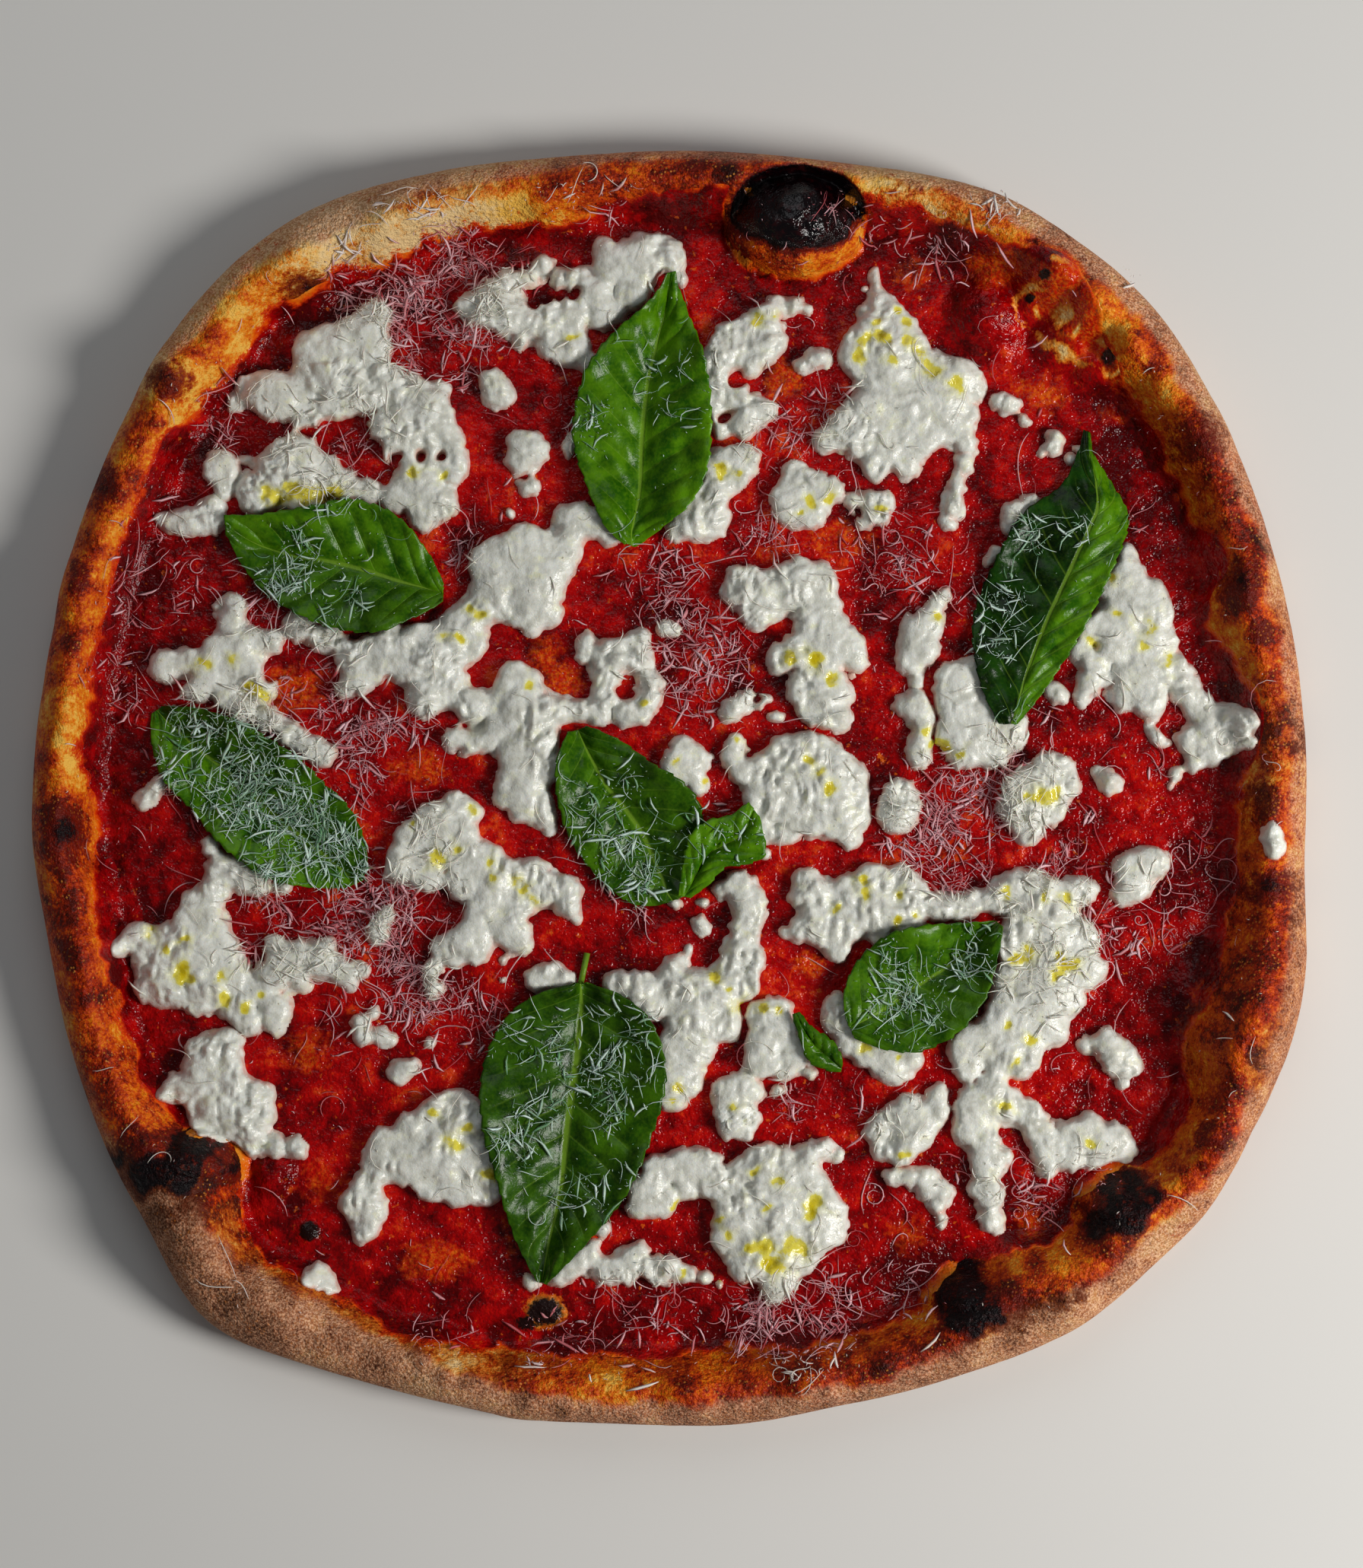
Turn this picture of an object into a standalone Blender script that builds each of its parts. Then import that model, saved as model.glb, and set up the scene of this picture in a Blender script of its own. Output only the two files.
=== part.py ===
# Burrata pizza: a puffed, charred crust with tomato sauce, torn burrata, basil
# leaves and shreds of hard cheese. Lengths below are in millimetres, X to the
# right and Y away from the eater, with the origin under the middle of the pizza.
import math
import random

import bpy
import bmesh
from mathutils import Matrix, Vector
from mathutils.bvhtree import BVHTree

MM = 0.001
GAP = 0.35                 # air kept between neighbouring pieces
SEED = 11

# Crust
SEGMENTS = 72              # steps round the pizza
FLOOR_HEIGHT = 3.5         # top of the thin base
RIM_CREST = 0.58           # where across the rim its crest lies, 0 inside to 1 outside
RIM_SHOULDER = 0.40        # height of the outermost line as a share of the crest
LEAST_RIM = 20.0           # the rim is never narrower than this
SAUCE_LAP = 5.0            # how far sauce climbs the rim
FLOOR_RINGS = (0.35, 0.65, 0.85, 0.95)
RIM_RINGS = (0.20, 0.42, 0.64, 0.83, 0.95)
CENTRE = (0.4, -0.2)       # middle of the outline, brought to the origin

# Sauce
SAUCE_THICK = 1.4
SAUCE_EDGE = 0.6

# Radius of the outer edge, crest height and radius of the sauce's edge, each
# listed against the angle in degrees anticlockwise from +X.
OUTER = (
    (0, 167.0), (14, 168.3), (25, 171), (37, 175.6), (46, 179.3), (60, 178.8),
    (70, 172.6), (80, 168.2), (93, 167.2), (107, 171.5), (120, 178.5), (128, 179.9),
    (140, 176), (152, 170.8), (165, 167.3), (180, 167.3), (198, 168.8), (211, 174.8),
    (221, 179), (228, 186), (236, 180.3), (250, 171.5), (266, 167.2), (284, 167.4),
    (298, 172.3), (310, 178.3), (321, 179.5), (334, 176.4), (346, 171.3), (355, 167),
)
CREST = (
    (0, 17), (25, 19), (45, 21), (78, 22), (95, 17), (120, 20), (150, 18), (175, 21),
    (200, 18), (218, 21), (240, 17), (262, 18), (285, 17), (300, 20), (320, 18),
    (338, 23), (350, 18),
)
SAUCE = (
    (0, 151), (7, 156), (18, 147), (27, 155.5), (41, 161), (53, 172), (62, 165.5),
    (75, 162), (88, 157), (103, 151.5), (115, 157), (130, 164), (137, 158.5), (147, 161),
    (161, 155.3), (187, 152.3), (196, 156), (210, 158.6), (220, 150), (228, 164),
    (240, 161), (255, 154.8), (270, 150), (278, 149), (290, 153), (303, 149.5),
    (311, 158.5), (324, 161), (334, 151), (350, 150.5),
)
# Bubbles in the dough: x, y, radius, rise
BUBBLES = (
    (33.5, 149, 18, 8), (97, 130, 12, 7), (106, 121, 13, 9), (115, 112, 11, 6),
    (84, 125, 13, 7), (148, -62, 22, 7), (-131, -100, 15, 6), (-119, -100, 8, 4),
    (78, -138, 12, 5), (118, -114, 11, 4), (-97, 134, 12, 4), (-134, 108, 12, 4),
    (-158, 16, 12, 4), (-160, -14, 12, 3), (-158, 52, 11, 3), (152, 52, 11, 3),
    (140, 92, 11, 4), (157, -4, 10, 3), (-104, -134, 14, 3), (4, -158, 10, 3),
    (104, -137, 10, 3), (143, -93, 10, 3), (-60, -152, 12, 2), (-25, 155, 14, 3),
    (-125, -118, 16, 4), (-70, 148, 14, 3), (36, -157, 10, 3), (-152, -45, 12, 3),
)

# Torn burrata: each piece is lumps of x, y, radius that run into each other
BURRATA = (
    # upper left, on both sides of its tear
    ((-78, 121, 6), (-90, 115, 11), (-88, 104, 10), (-105, 103, 8), (-100, 100, 6),
     (-113, 106, 3.5), (-75, 106, 7), (-64, 97, 8), (-72, 93, 8), (-60, 90, 6),
     (-58, 84, 5), (-66, 82, 6), (-65, 76, 6), (-60, 74, 5), (-70, 78, 5),
     (-119, 84, 5.5), (-109, 77, 6), (-100, 84, 9), (-92, 82, 6), (-97, 76, 6),
     (-86, 79, 4.5), (-80, 78, 4), (-95, 92, 6)),
    # left, by the rim
    ((-134, 70, 2.5), (-130, 69, 4), (-125, 70, 4.5), (-121, 72, 4), (-120, 69, 3)),
    # top, left of the long leaf
    ((-55, 127, 3), (-50, 126, 5), (-45, 125, 6), (-43, 133, 4), (-38, 134, 3),
     (-34, 138, 3), (-28, 134, 3.5), (-24, 134, 3.5), (-39, 123, 5), (-33, 123, 5.5),
     (-27, 124, 5.5), (-30, 116, 5), (-26, 116, 5), (-22, 112, 3), (-20, 130, 5),
     (-18, 124, 4), (-15, 138, 6), (-9, 138, 7), (-4, 143, 4), (0, 140, 4.5),
     (-10, 130, 5)),
    # drops left of the long leaf
    ((-47, 107, 3.8), (-44.5, 103.5, 3.8), (-47, 103, 3)),
    ((-39, 90, 5), (-36, 89, 4.5), (-40, 86, 4)),
    # right of the long leaf
    ((33, 127, 3), (28, 127, 3.2), (24, 122, 5.5), (26, 117, 5), (19, 119, 5.5),
     (21, 113, 5), (14, 117, 5), (12, 112, 5), (12, 106, 4.5), (17, 103, 4.5),
     (22, 99, 4.5), (25, 99, 3.5), (19, 95, 4), (13, 97, 3), (10, 102, 4)),
    ((20, 86, 4.5), (15, 86, 4.5), (11, 84, 4), (18, 81, 3.5), (12, 78, 5),
     (8, 75, 5), (12, 71, 4), (6, 70, 5.5), (2, 68, 4)),
    ((34.5, 111.5, 2.6), (38.5, 112.7, 3), (41, 113, 2)),
    # upper right, with its long tail
    ((55, 130, 2.2), (56, 127, 3.5), (59, 124, 4), (62, 121, 4), (54, 120, 5.5),
     (50, 116, 5.5), (48, 113, 4), (57, 114, 7), (64, 115, 5), (52, 109, 5),
     (58, 107, 7), (68, 110, 5.5), (74, 108, 6), (78, 108, 5), (72, 102, 7),
     (64, 101, 7), (55, 100, 7), (46, 94, 5.5), (42, 92, 4), (50, 91, 5),
     (54, 86, 4.5), (58, 92, 6), (62, 86, 4.5), (66, 92, 6), (72, 95, 5),
     (76, 94, 4), (79, 98, 3), (78, 90, 3), (77.5, 85, 3), (75.5, 80, 2.8),
     (75, 76, 2.4), (74.5, 73, 2.4)),
    ((87, 101.5, 3), (90, 100.5, 2.6), (93, 97.5, 2)),
    ((101.5, 92.5, 2.8), (101, 89, 2.5)),
    # upper centre, right
    ((33, 83, 3.5), (31, 77, 5), (37, 79, 5), (42, 78, 4.5), (31, 73, 4.5),
     (37, 72, 4.5), (48, 75, 3), (53, 75, 3.3), (56, 75, 3), (55, 71, 3.5),
     (51, 70, 2.8)),
    # arch above the centre
    ((20, 53, 6), (17, 50, 3.5), (23, 47, 5.5), (28, 53, 5.5), (34, 55, 6),
     (33, 50, 4.5), (39, 54, 5.5), (40, 48, 5), (37, 43, 5), (42, 42, 5),
     (41, 36, 6), (47, 37, 5), (34, 36, 4.5), (30, 34, 4.5), (37, 31, 5),
     (35, 25, 4.5), (41, 26, 6), (38, 20, 5), (43, 19, 4.5)),
    ((20, 23.5, 2.5), (17, 21, 3.2), (15, 19, 2.2), (24.5, 22, 2.6)),
    # the big net left of the centre
    ((-28, 71, 3.5), (-24, 70, 5), (-19, 69, 4.5), (-15, 66, 3.5), (-38, 62, 8),
     (-46, 58, 8), (-36, 54, 9), (-30, 60, 6), (-27, 65, 4), (-46, 50, 7),
     (-38, 46, 6), (-32, 46, 4), (-52, 45, 5), (-56, 42, 5), (-60, 36, 7),
     (-66, 38, 6), (-62, 30, 8), (-70, 34, 7), (-78, 34, 7), (-84, 34, 5),
     (-74, 40, 4), (-82, 28, 4.5), (-64, 24, 5.5), (-57, 24, 4.5), (-52, 21, 4.5),
     (-88, 38, 3), (-92, 39, 4), (-98, 41, 3.5), (-105, 38, 3.5), (-110, 38, 4),
     (-115, 36, 5), (-120, 36, 4.5), (-127, 33, 4), (-133, 32, 4.5), (-116, 43, 4),
     (-115, 48, 3.5), (-121, 30, 5.5), (-113, 30, 5.5), (-125, 25, 4),
     (-117, 23, 4), (-108, 25, 3.5), (-113, 20, 4), (-106, 17, 4), (-100, 13, 4),
     (-95, 10, 4), (-91, 8, 3.5),
     # its centre part, down to its drip
     (-41, 30, 4), (-42, 26, 5), (-37, 27, 4), (-46, 21, 4), (-38, 20, 7),
     (-44, 16, 5), (-36, 12, 7), (-40, 8, 6), (-34, 5, 6), (-40, 1, 6),
     (-53, 11, 3.5), (-48, 12, 3.5), (-43, -3, 4), (-37, -4, 6), (-33, -9, 3),
     (-29, 20, 3.5), (-24, 20, 3.2), (-19, 19, 3.5), (-17, 24, 4), (-17, 29, 4),
     (-16, 34, 5), (-11, 36, 4.5), (-8, 39, 3), (-22, 37, 3), (-12, 19, 3.5),
     (-8, 20, 4), (-5, 23, 3.5), (-6, 28, 3), (-8, 33, 3)),
    ((-2, 42, 2.5), (1, 41, 2)),
    # right of the centre: a horn and a broad lump
    ((17, 12, 3), (16, 8, 3.5), (18, 4, 3.5), (21, 3, 4), (24, 6, 3), (30, 9, 5),
     (36, 8, 7), (42, 6, 6), (47, 2, 5), (32, 2, 7), (40, 0, 8), (47, -4, 5.5),
     (28, -4, 6), (36, -7, 7), (44, -9, 6), (47, -14, 3.5), (31, -12, 3.5),
     (24, -3, 5), (24, -12, 3.5)),
    # column below the centre
    ((13, -27, 2.5), (18, -26, 4.5), (21, -31, 5), (20, -37, 4.5), (19, -43, 4.5),
     (17, -46, 4.5), (22, -46, 3.5), (20, -52, 4.5), (15, -49, 3.5), (-14, -52, 4),
     (-8, -53, 5), (-5, -57, 6), (0, -50, 4), (3, -55, 6), (8, -54, 6),
     (13, -55, 5.5), (6, -62, 7), (13, -62, 5.5), (2, -70, 7), (8, -70, 4),
     (4, -78, 5), (0, -82, 4), (-2, -78, 5)),
    ((3, 10, 3.5), (7, 8, 3.5), (2, 5, 5), (6, 3, 4), (7, -1, 2.5)),
    ((72, 51, 2), (70, 48, 3), (68, 43, 4.5), (64, 42, 3.5), (65, 37, 5),
     (62, 33, 3.2), (64, 31.5, 2.5)),
    ((65, 23, 3), (65, 20, 4), (67, 17, 3.5), (66, 13, 3), (65, 9, 3.5)),
    ((74, 28, 5), (78, 27, 5), (80, 30, 4), (76, 20, 6), (82, 19, 6), (74, 14, 5),
     (80, 12, 6.5), (86, 14, 5.5), (77, 8, 4), (85, 8, 4), (90, 13, 4), (92, 17, 3)),
    ((91, 72, 4), (95, 75, 2.8), (89, 68, 2.4)),
    # the big piece at the right
    ((120, 61, 3), (120, 55, 5.5), (116, 52, 4), (126, 50, 5), (120, 46, 6),
     (128, 45, 5.5), (114, 42, 5), (110, 41, 4), (118, 38, 6), (126, 37, 6),
     (131, 38, 3.5), (108, 36, 3.5), (112, 32, 4), (110, 27, 3.5), (120, 30, 4),
     (120, 25, 4), (126, 30, 6), (126, 23, 5), (133, 30, 5), (136, 25, 4.5),
     (139, 21, 4.5), (143, 16, 5), (147, 15, 4), (143, 10, 5), (137, 12, 4),
     (138, 6, 3)),
    ((101, 25, 3), (103, 23, 2.4)),
    ((115, 2, 2.6), (115, -1, 2.2), (117, 1, 2.2)),
    ((60, -2, 4.5), (59, -7, 5.5), (62, -6, 4)),
    ((103, 4, 4), (99, 5, 4.5), (105, 0, 3.5), (99, 0, 6), (93, -2, 6.5),
     (90, -6, 4), (94, -8, 6), (100, -6, 5), (94, -13, 3)),
    # the long piece at the lower right
    ((36, -25, 4), (39, -29, 4.5), (38, -34, 4), (40, -38, 5), (44, -43, 4),
     (46, -36, 6), (46, -28, 5), (53, -25, 5.5), (54, -33, 6.5), (60, -25, 5),
     (64, -29, 5), (62, -35, 5), (70, -32, 4), (75, -32, 4), (80, -31, 4),
     (86, -30, 4.5), (91, -25, 3.5), (95, -28, 6), (101, -29, 5), (108, -28, 4),
     (103, -35, 6), (95, -36, 7), (108, -40, 5), (90, -42, 6), (100, -44, 8),
     (108, -48, 6), (90, -51, 6), (98, -54, 8), (104, -56, 5), (88, -59, 6),
     (95, -63, 7), (85, -66, 7), (92, -71, 6), (78, -68, 6), (78, -74, 4.5),
     (84, -80, 5), (80, -84, 6), (78, -90, 4.5), (82, -92, 5), (83, -99, 5),
     (82, -106, 4.5), (84, -114, 3.5), (88, -84, 5), (94, -86, 4.5), (97, -91, 4.5),
     (99, -96, 4.5), (105, -92, 4.5), (110, -92, 5), (116, -94, 5), (105, -98, 4)),
    ((70, -81, 3.5), (69, -86, 4.5), (62, -85, 4.5), (57, -88, 4.5), (54, -91, 3.5),
     (64, -91, 6), (60, -96, 4.5)),
    ((58, -102.5, 2.6), (62, -103, 3), (67, -103, 3.5), (71, -106, 3), (70, -110, 2.4),
     (71, -113, 2)),
    ((43, -57, 3.5), (44, -62, 4), (47, -67, 4.5), (50, -62, 5), (52, -70, 5),
     (57, -73, 5), (63, -71, 4)),
    ((23, -59.5, 3.5), (28, -59, 4.5), (25, -66, 5.5), (31, -64, 4), (33, -70, 4.5),
     (24, -72, 5), (30, -74, 3.5), (18, -79, 4), (14, -80, 3.5), (21, -80, 3.5),
     (16, -86, 5.5), (20, -87, 4), (16, -90, 3.5)),
    # lower left
    ((-57, -84, 5), (-62, -86, 5), (-52, -88, 6), (-68, -90, 5), (-75, -94, 5),
     (-60, -96, 8), (-50, -98, 6), (-68, -99, 7), (-77, -100, 5), (-55, -105, 6),
     (-48, -106, 4.5), (-80, -106, 4.5), (-80, -111, 4.5), (-80, -116, 4)),
    # bottom centre
    ((-7, -106, 5), (-8, -110, 4.5), (-4, -101, 5), (-2, -109, 4.5), (3, -100, 5),
     (4, -106, 3.5), (9, -100, 5.5), (12, -105, 5), (26, -100, 7), (20, -103, 6),
     (33, -101, 6), (40, -95, 3), (44, -97, 2), (27, -110, 9), (36, -109, 8),
     (42, -112, 5), (18, -112, 7), (16, -118, 6), (27, -120, 9), (36, -118, 7),
     (42, -117, 4.5), (20, -125, 6), (28, -128, 6), (34, -125, 4), (27, -133, 3.5)),
    ((-37, -130, 2.5), (-30, -129, 3), (-26, -126, 4), (-22, -123, 4), (-17, -127, 4),
     (-12, -127, 4.5), (-9, -123, 4), (-4, -127, 4.5), (0, -127, 3.5), (4, -128, 2.8),
     (9, -129, 2.2)),
    # left, with its arm
    ((-121, -16, 3), (-118, -22, 4.5), (-113, -23, 5), (-109, -26, 4), (-120, -28, 4.5),
     (-126, -31, 4), (-127, -36, 5), (-120, -39, 5), (-133, -40, 4), (-140, -40, 5),
     (-136, -46, 6), (-127, -45, 8), (-118, -43, 5), (-138, -53, 4.5), (-130, -53, 6),
     (-122, -53, 6.5), (-117, -50, 5.5), (-114, -58, 5), (-111, -62, 4),
     (-104, -59, 4.5), (-108, -54, 4), (-104, -49, 5), (-98, -45, 5), (-92, -46, 5),
     (-86, -49, 4), (-98, -50, 3.5)),
    ((-124, -69, 4), (-118, -69, 5), (-124, -74, 4.5), (-117, -75, 5.5), (-130, -79, 4),
     (-124, -81, 6), (-115, -82, 7), (-108, -81, 4.5), (-121, -87, 5.5),
     (-112, -89, 6), (-118, -92, 3.5), (-110, -94, 4), (-104, -95, 3.5), (-98, -95, 3.5)),
    ((-75, -34, 3), (-77, -38, 3.2)),
    # left of the big leaf
    ((-57, -5, 4), (-53, -7, 3.5), (-63, -9, 5.5), (-57, -11, 5), (-69, -13, 4.5),
     (-62, -17, 6), (-70, -20, 5.5), (-64, -24, 5), (-54, -19, 5.5), (-48, -19, 4.5),
     (-55, -25, 5.5), (-47, -26, 6), (-42, -23, 4.5), (-36, -23, 4), (-34, -27, 5),
     (-28, -27, 4.5), (-40, -31, 5), (-49, -33, 5.5), (-42, -38, 5.5), (-52, -40, 5.5),
     (-52, -44, 4), (-61, -43, 3), (-57, -41, 4), (-63, -48, 3), (-62, -53, 2.8)),
    ((-78, -60, 2), (-82, -62, 2.8), (-81, -66, 3), (-76, -66, 2.5)),
    ((-70, -74, 3.2), (-72, -76, 3), (-68, -74, 2.5)),
    ((-92, -127, 2.8), (-94.5, -129, 2.4), (-90, -130, 2.2)),
    ((126, -20, 4.5), (121, -22, 5), (122, -27, 4.5), (129, -21, 3), (118, -29, 3)),
    ((114, -67, 4), (109, -68, 2.4), (117, -71, 5.5), (120, -74, 4)),
    ((-36, -51, 3.5), (-31, -50, 4)),
    ((-139, -4, 3), (-137, -2, 3)),
)
LUMP_SINK = 0.30           # height of a lump's middle over the sauce, in radii
LUMP_TALL = 0.75           # its half height in radii, with LUMP_ADD on top
LUMP_ADD = 1.5
LUMP_FOOT = 0.8            # a lump rests on the highest ground this share of it reaches
VOXEL = 1.3
BED_REACH = 3.0            # a piece clears what rises this near under it
PIECE_TRIANGLES = 30       # triangles a piece starts with
LUMP_TRIANGLES = 7.0       # and those that each lump adds

# Basil: one long edge, then the other, both from the leaf's base to its tip
LEAVES = (
    (((-12, 63.5), (-17, 68), (-22, 79), (-25.5, 92), (-23, 107), (-16, 118), (-7, 126),
      (-3, 131), (-1, 135)),
     ((-9.5, 63), (-3, 67.5), (5, 74), (9.5, 84), (10.3, 99), (8.5, 113), (5, 123),
      (2, 131), (1, 135.5))),
    (((-60, 48.5), (-68, 44), (-78, 40.3), (-92, 42.5), (-104, 49), (-112, 57),
      (-117, 66)),
     ((-60, 53), (-64, 61), (-72, 70.5), (-84, 75), (-94, 73), (-108, 71), (-117.5, 71))),
    (((-137, 19), (-136.5, 11), (-133, 2), (-126, -6), (-117, -16), (-106, -24),
      (-96, -26.5), (-86, -27)),
     ((-134, 21), (-122, 19.5), (-110, 14.5), (-99, 7.5), (-91, 0), (-84, -7),
      (-80, -17), (-81, -25))),
    (((-27, 14), (-30, 5), (-29, -6), (-25, -16), (-18, -25), (-10, -31), (-3, -31.5)),
     ((-22, 15.5), (-13, 11.5), (-5, 5.5), (3, 0.5), (8, -7), (8, -20), (4, -29))),
    (((2, -29), (3.5, -21), (5.5, -13), (10, -9.5), (16, -8), (20.5, -4.5)),
     ((5, -29.5), (9.5, -26), (14, -21.5), (20, -20.5), (24.5, -17.5), (23, -8))),
    (((-25.5, -52), (-34, -54.5), (-43, -61), (-49, -74), (-49, -89), (-45, -104),
      (-41, -118), (-35, -130)),
     ((-22, -52), (-13, -55), (-5, -62.5), (-1.5, -76), (-5, -91), (-12, -107),
      (-22, -119.5), (-32.5, -130.5))),
    (((46, -62), (45.3, -55), (49, -46.5), (57, -39.5), (67, -37), (77, -36.2),
      (85, -35.5)),
     ((48, -66), (56, -69), (65, -69.5), (75, -64.5), (82, -56), (85, -47), (87, -37))),
    (((86, 16), (81, 28), (80, 44), (86, 60), (93, 71.5), (103, 79), (107.5, 88),
      (109, 94)),
     ((91, 16), (98, 25), (107, 39), (115, 55), (120.3, 70), (116, 80), (111.5, 87),
      (110.5, 93))),
    (((44.5, -75), (40, -74), (36, -71.5), (34, -66), (32, -60)),
     ((45, -73), (43.5, -69), (40.5, -66), (36.5, -63.5), (33.5, -59.5))),
)
LEAF_THICK = 0.7
LEAF_REACH = 5.0           # a leaf clears everything this near a point of it
LEAF_CURL = 2.2            # rise of its edges over its midrib

# Shreds of cheese on whatever they land on: x, y, spread, count
SHREDS = (
    (-66, 130, 12, 6), (-55, 112, 7, 3), (-135, 56, 8, 4), (-142, 42, 5, 2),
    (-75, 12, 9, 5), (-68, 2, 9, 4), (-62, 62, 6, 1), (-85, -34, 11, 6),
    (-70, -50, 10, 6), (-60, -62, 8, 2), (0, 52, 10, 5), (8, 35, 9, 4),
    (4, 25, 6, 2), (58, 60, 11, 5), (24, 66, 5, 2), (30, 92, 6, 2), (36, 99, 6, 2),
    (74, -10, 12, 8), (104, -18, 8, 4), (140, -22, 7, 3), (128, -35, 8, 2),
    (32, -142, 8, 4), (44, -128, 7, 3), (-10, -142, 9, 4), (-60, -138, 7, 2),
    (62, -132, 6, 2), (95, -108, 6, 2), (60, -112, 6, 1), (104, 55, 6, 1),
    (5, 150, 5, 1), (-96, 20, 6, 2), (-98, 52, 9, 4), (-116, 6, 9, 5),
    (-100, -8, 10, 6), (-88, -14, 6, 3), (-12, -10, 9, 4), (-20, -76, 10, 3),
    (-40, -92, 6, 3), (-20, -106, 6, 3), (62, -57, 8, 4), (76, -44, 5, 2),
    (86, 50, 5, 3), (96, 64, 4, 2), (-88, 90, 9, 3), (100, -46, 8, 2), (2, 104, 5, 2),
    (-60, 92, 8, 1), (36, -2, 6, 1),
)
SHRED_WIDTH = 1.1
SHRED_TALL = 1.2
SHRED_LENGTH = (7.0, 14.0)
SHRED_CLEAR = 1.8          # bare ground on each side of a shred
MOST_UNEVEN = 0.45         # of the ground under one
# Scraps of burrata that stay on the sauce: x, y, radius
SCRAPS = (
    (-37, 79, 2.3), (-42.5, 72, 1.8), (107, 87.5, 2), (128.5, 13, 2.2), (-18, -116, 2.5),
    (-63.5, -67.5, 2), (-44, -48.5, 1.7),
)


def around(table, angle):
    """Value at an angle in degrees, eased between the entries of a closed table."""
    angle %= 360
    entries = list(table) + [(table[0][0] + 360, table[0][1])]
    for (a, low), (b, high) in zip(entries, entries[1:]):
        if a <= angle <= b:
            share = (angle - a) / (b - a)
            return low + (high - low) * (3 - 2 * share) * share * share
    return table[0][1]


def rise_of_bubbles(x, y):
    rise = 0
    for bx, by, radius, height in BUBBLES:
        near = ((x - bx) ** 2 + (y - by) ** 2) / radius ** 2
        if near < 1:
            rise = max(rise, height * (1 - near) ** 1.5)
    return rise


def rim_shape(across):
    """Height across the rim as a share of the crest, 0 at its inner foot."""
    if across < RIM_CREST:
        return math.sin(math.pi / 2 * across / RIM_CREST) ** 1.3
    fall = (across - RIM_CREST) / (1 - RIM_CREST)
    return RIM_SHOULDER + (1 - RIM_SHOULDER) * math.sqrt(max(0, 1 - fall * fall))


def radii(angle):
    """Inner foot of the rim, edge of the sauce and outer edge."""
    outer = around(OUTER, angle)
    sauce = around(SAUCE, angle)
    foot = min(sauce - SAUCE_LAP, outer - LEAST_RIM)
    return foot, sauce, outer


def crust_height(radius, angle):
    foot, _, outer = radii(angle)
    across = min(1, max(0, (radius - foot) / (outer - foot)))
    crest = around(CREST, angle) - FLOOR_HEIGHT
    turn = math.radians(angle)
    bubble = rise_of_bubbles(radius * math.cos(turn), radius * math.sin(turn))
    return FLOOR_HEIGHT + crest * (rim_shape(across) if across > 0 else 0) + bubble


def top_radii(angle, with_rim):
    foot, sauce, outer = radii(angle)
    rings = [foot * share for share in FLOOR_RINGS] + [foot, (foot + sauce) / 2, sauce]
    if with_rim:
        rings += [sauce + (outer - sauce) * share for share in RIM_RINGS]
    return rings


def crust_section(angle):
    """Radius and height from the middle of the top, over the rim, to the flat bottom."""
    _, _, outer = radii(angle)
    section = [(r, crust_height(r, angle)) for r in top_radii(angle, True)]
    crest = around(CREST, angle)
    section += [(outer, RIM_SHOULDER * crest), (outer - 1.2, 0.16 * crest), (outer - 4.5, 0)]
    return section


def sauce_section(angle):
    rings = top_radii(angle, False)
    last = len(rings) - 1
    top, under = [], []
    for index, radius in enumerate(rings):
        bed = crust_height(radius, angle) + GAP
        thick = SAUCE_EDGE if index == last else SAUCE_THICK
        top.append((radius, bed + thick))
        under.append((radius, bed))
    return top + under[::-1]


def material(name, colour, roughness):
    made = bpy.data.materials.new(name)
    made.use_nodes = True
    shader = made.node_tree.nodes["Principled BSDF"]
    shader.inputs["Base Color"].default_value = (*colour, 1)
    shader.inputs["Roughness"].default_value = roughness
    shader.inputs["Metallic"].default_value = 0
    return made


def add_object(name, mesh_data, finish, collection):
    mesh = bpy.data.meshes.new(name)
    mesh_data.to_mesh(mesh)
    mesh_data.free()
    if finish:
        mesh.materials.append(finish)
    mesh.shade_smooth()
    made = bpy.data.objects.new(name, mesh)
    collection.objects.link(made)
    return made


def turned_body(name, section_at, finish, collection):
    """A sphere whose rings are moved to a section that changes round the pizza."""
    rings = len(section_at(0))
    shape = bmesh.new()
    bmesh.ops.create_uvsphere(shape, u_segments=SEGMENTS, v_segments=rings + 1, radius=1)
    sections = [section_at(step * 360 / SEGMENTS) for step in range(SEGMENTS)]
    for vertex in shape.verts:
        polar = math.acos(max(-1, min(1, vertex.co.z))) / math.pi * (rings + 1)
        ring = round(polar)
        if ring == 0 or ring == rings + 1:
            height = sections[0][0 if ring == 0 else -1][1]
            vertex.co = (0, 0, height * MM)
            continue
        angle = math.degrees(math.atan2(vertex.co.y, vertex.co.x)) % 360
        step = round(angle * SEGMENTS / 360) % SEGMENTS
        radius, height = sections[step][ring - 1]
        turn = math.radians(step * 360 / SEGMENTS)
        x = radius * math.cos(turn) - CENTRE[0]
        y = radius * math.sin(turn) - CENTRE[1]
        vertex.co = (x * MM, y * MM, height * MM)
    bmesh.ops.triangulate(shape, faces=shape.faces[:], quad_method="SHORT_EDGE")
    bmesh.ops.recalc_face_normals(shape, faces=shape.faces[:])
    return add_object(name, shape, finish, collection)


def applied(target):
    """Gives the object the mesh that its modifiers make."""
    graph = bpy.context.evaluated_depsgraph_get()
    mesh = bpy.data.meshes.new_from_object(target.evaluated_get(graph))
    target.modifiers.clear()
    target.data = mesh
    mesh.name = target.name
    return target


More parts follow.
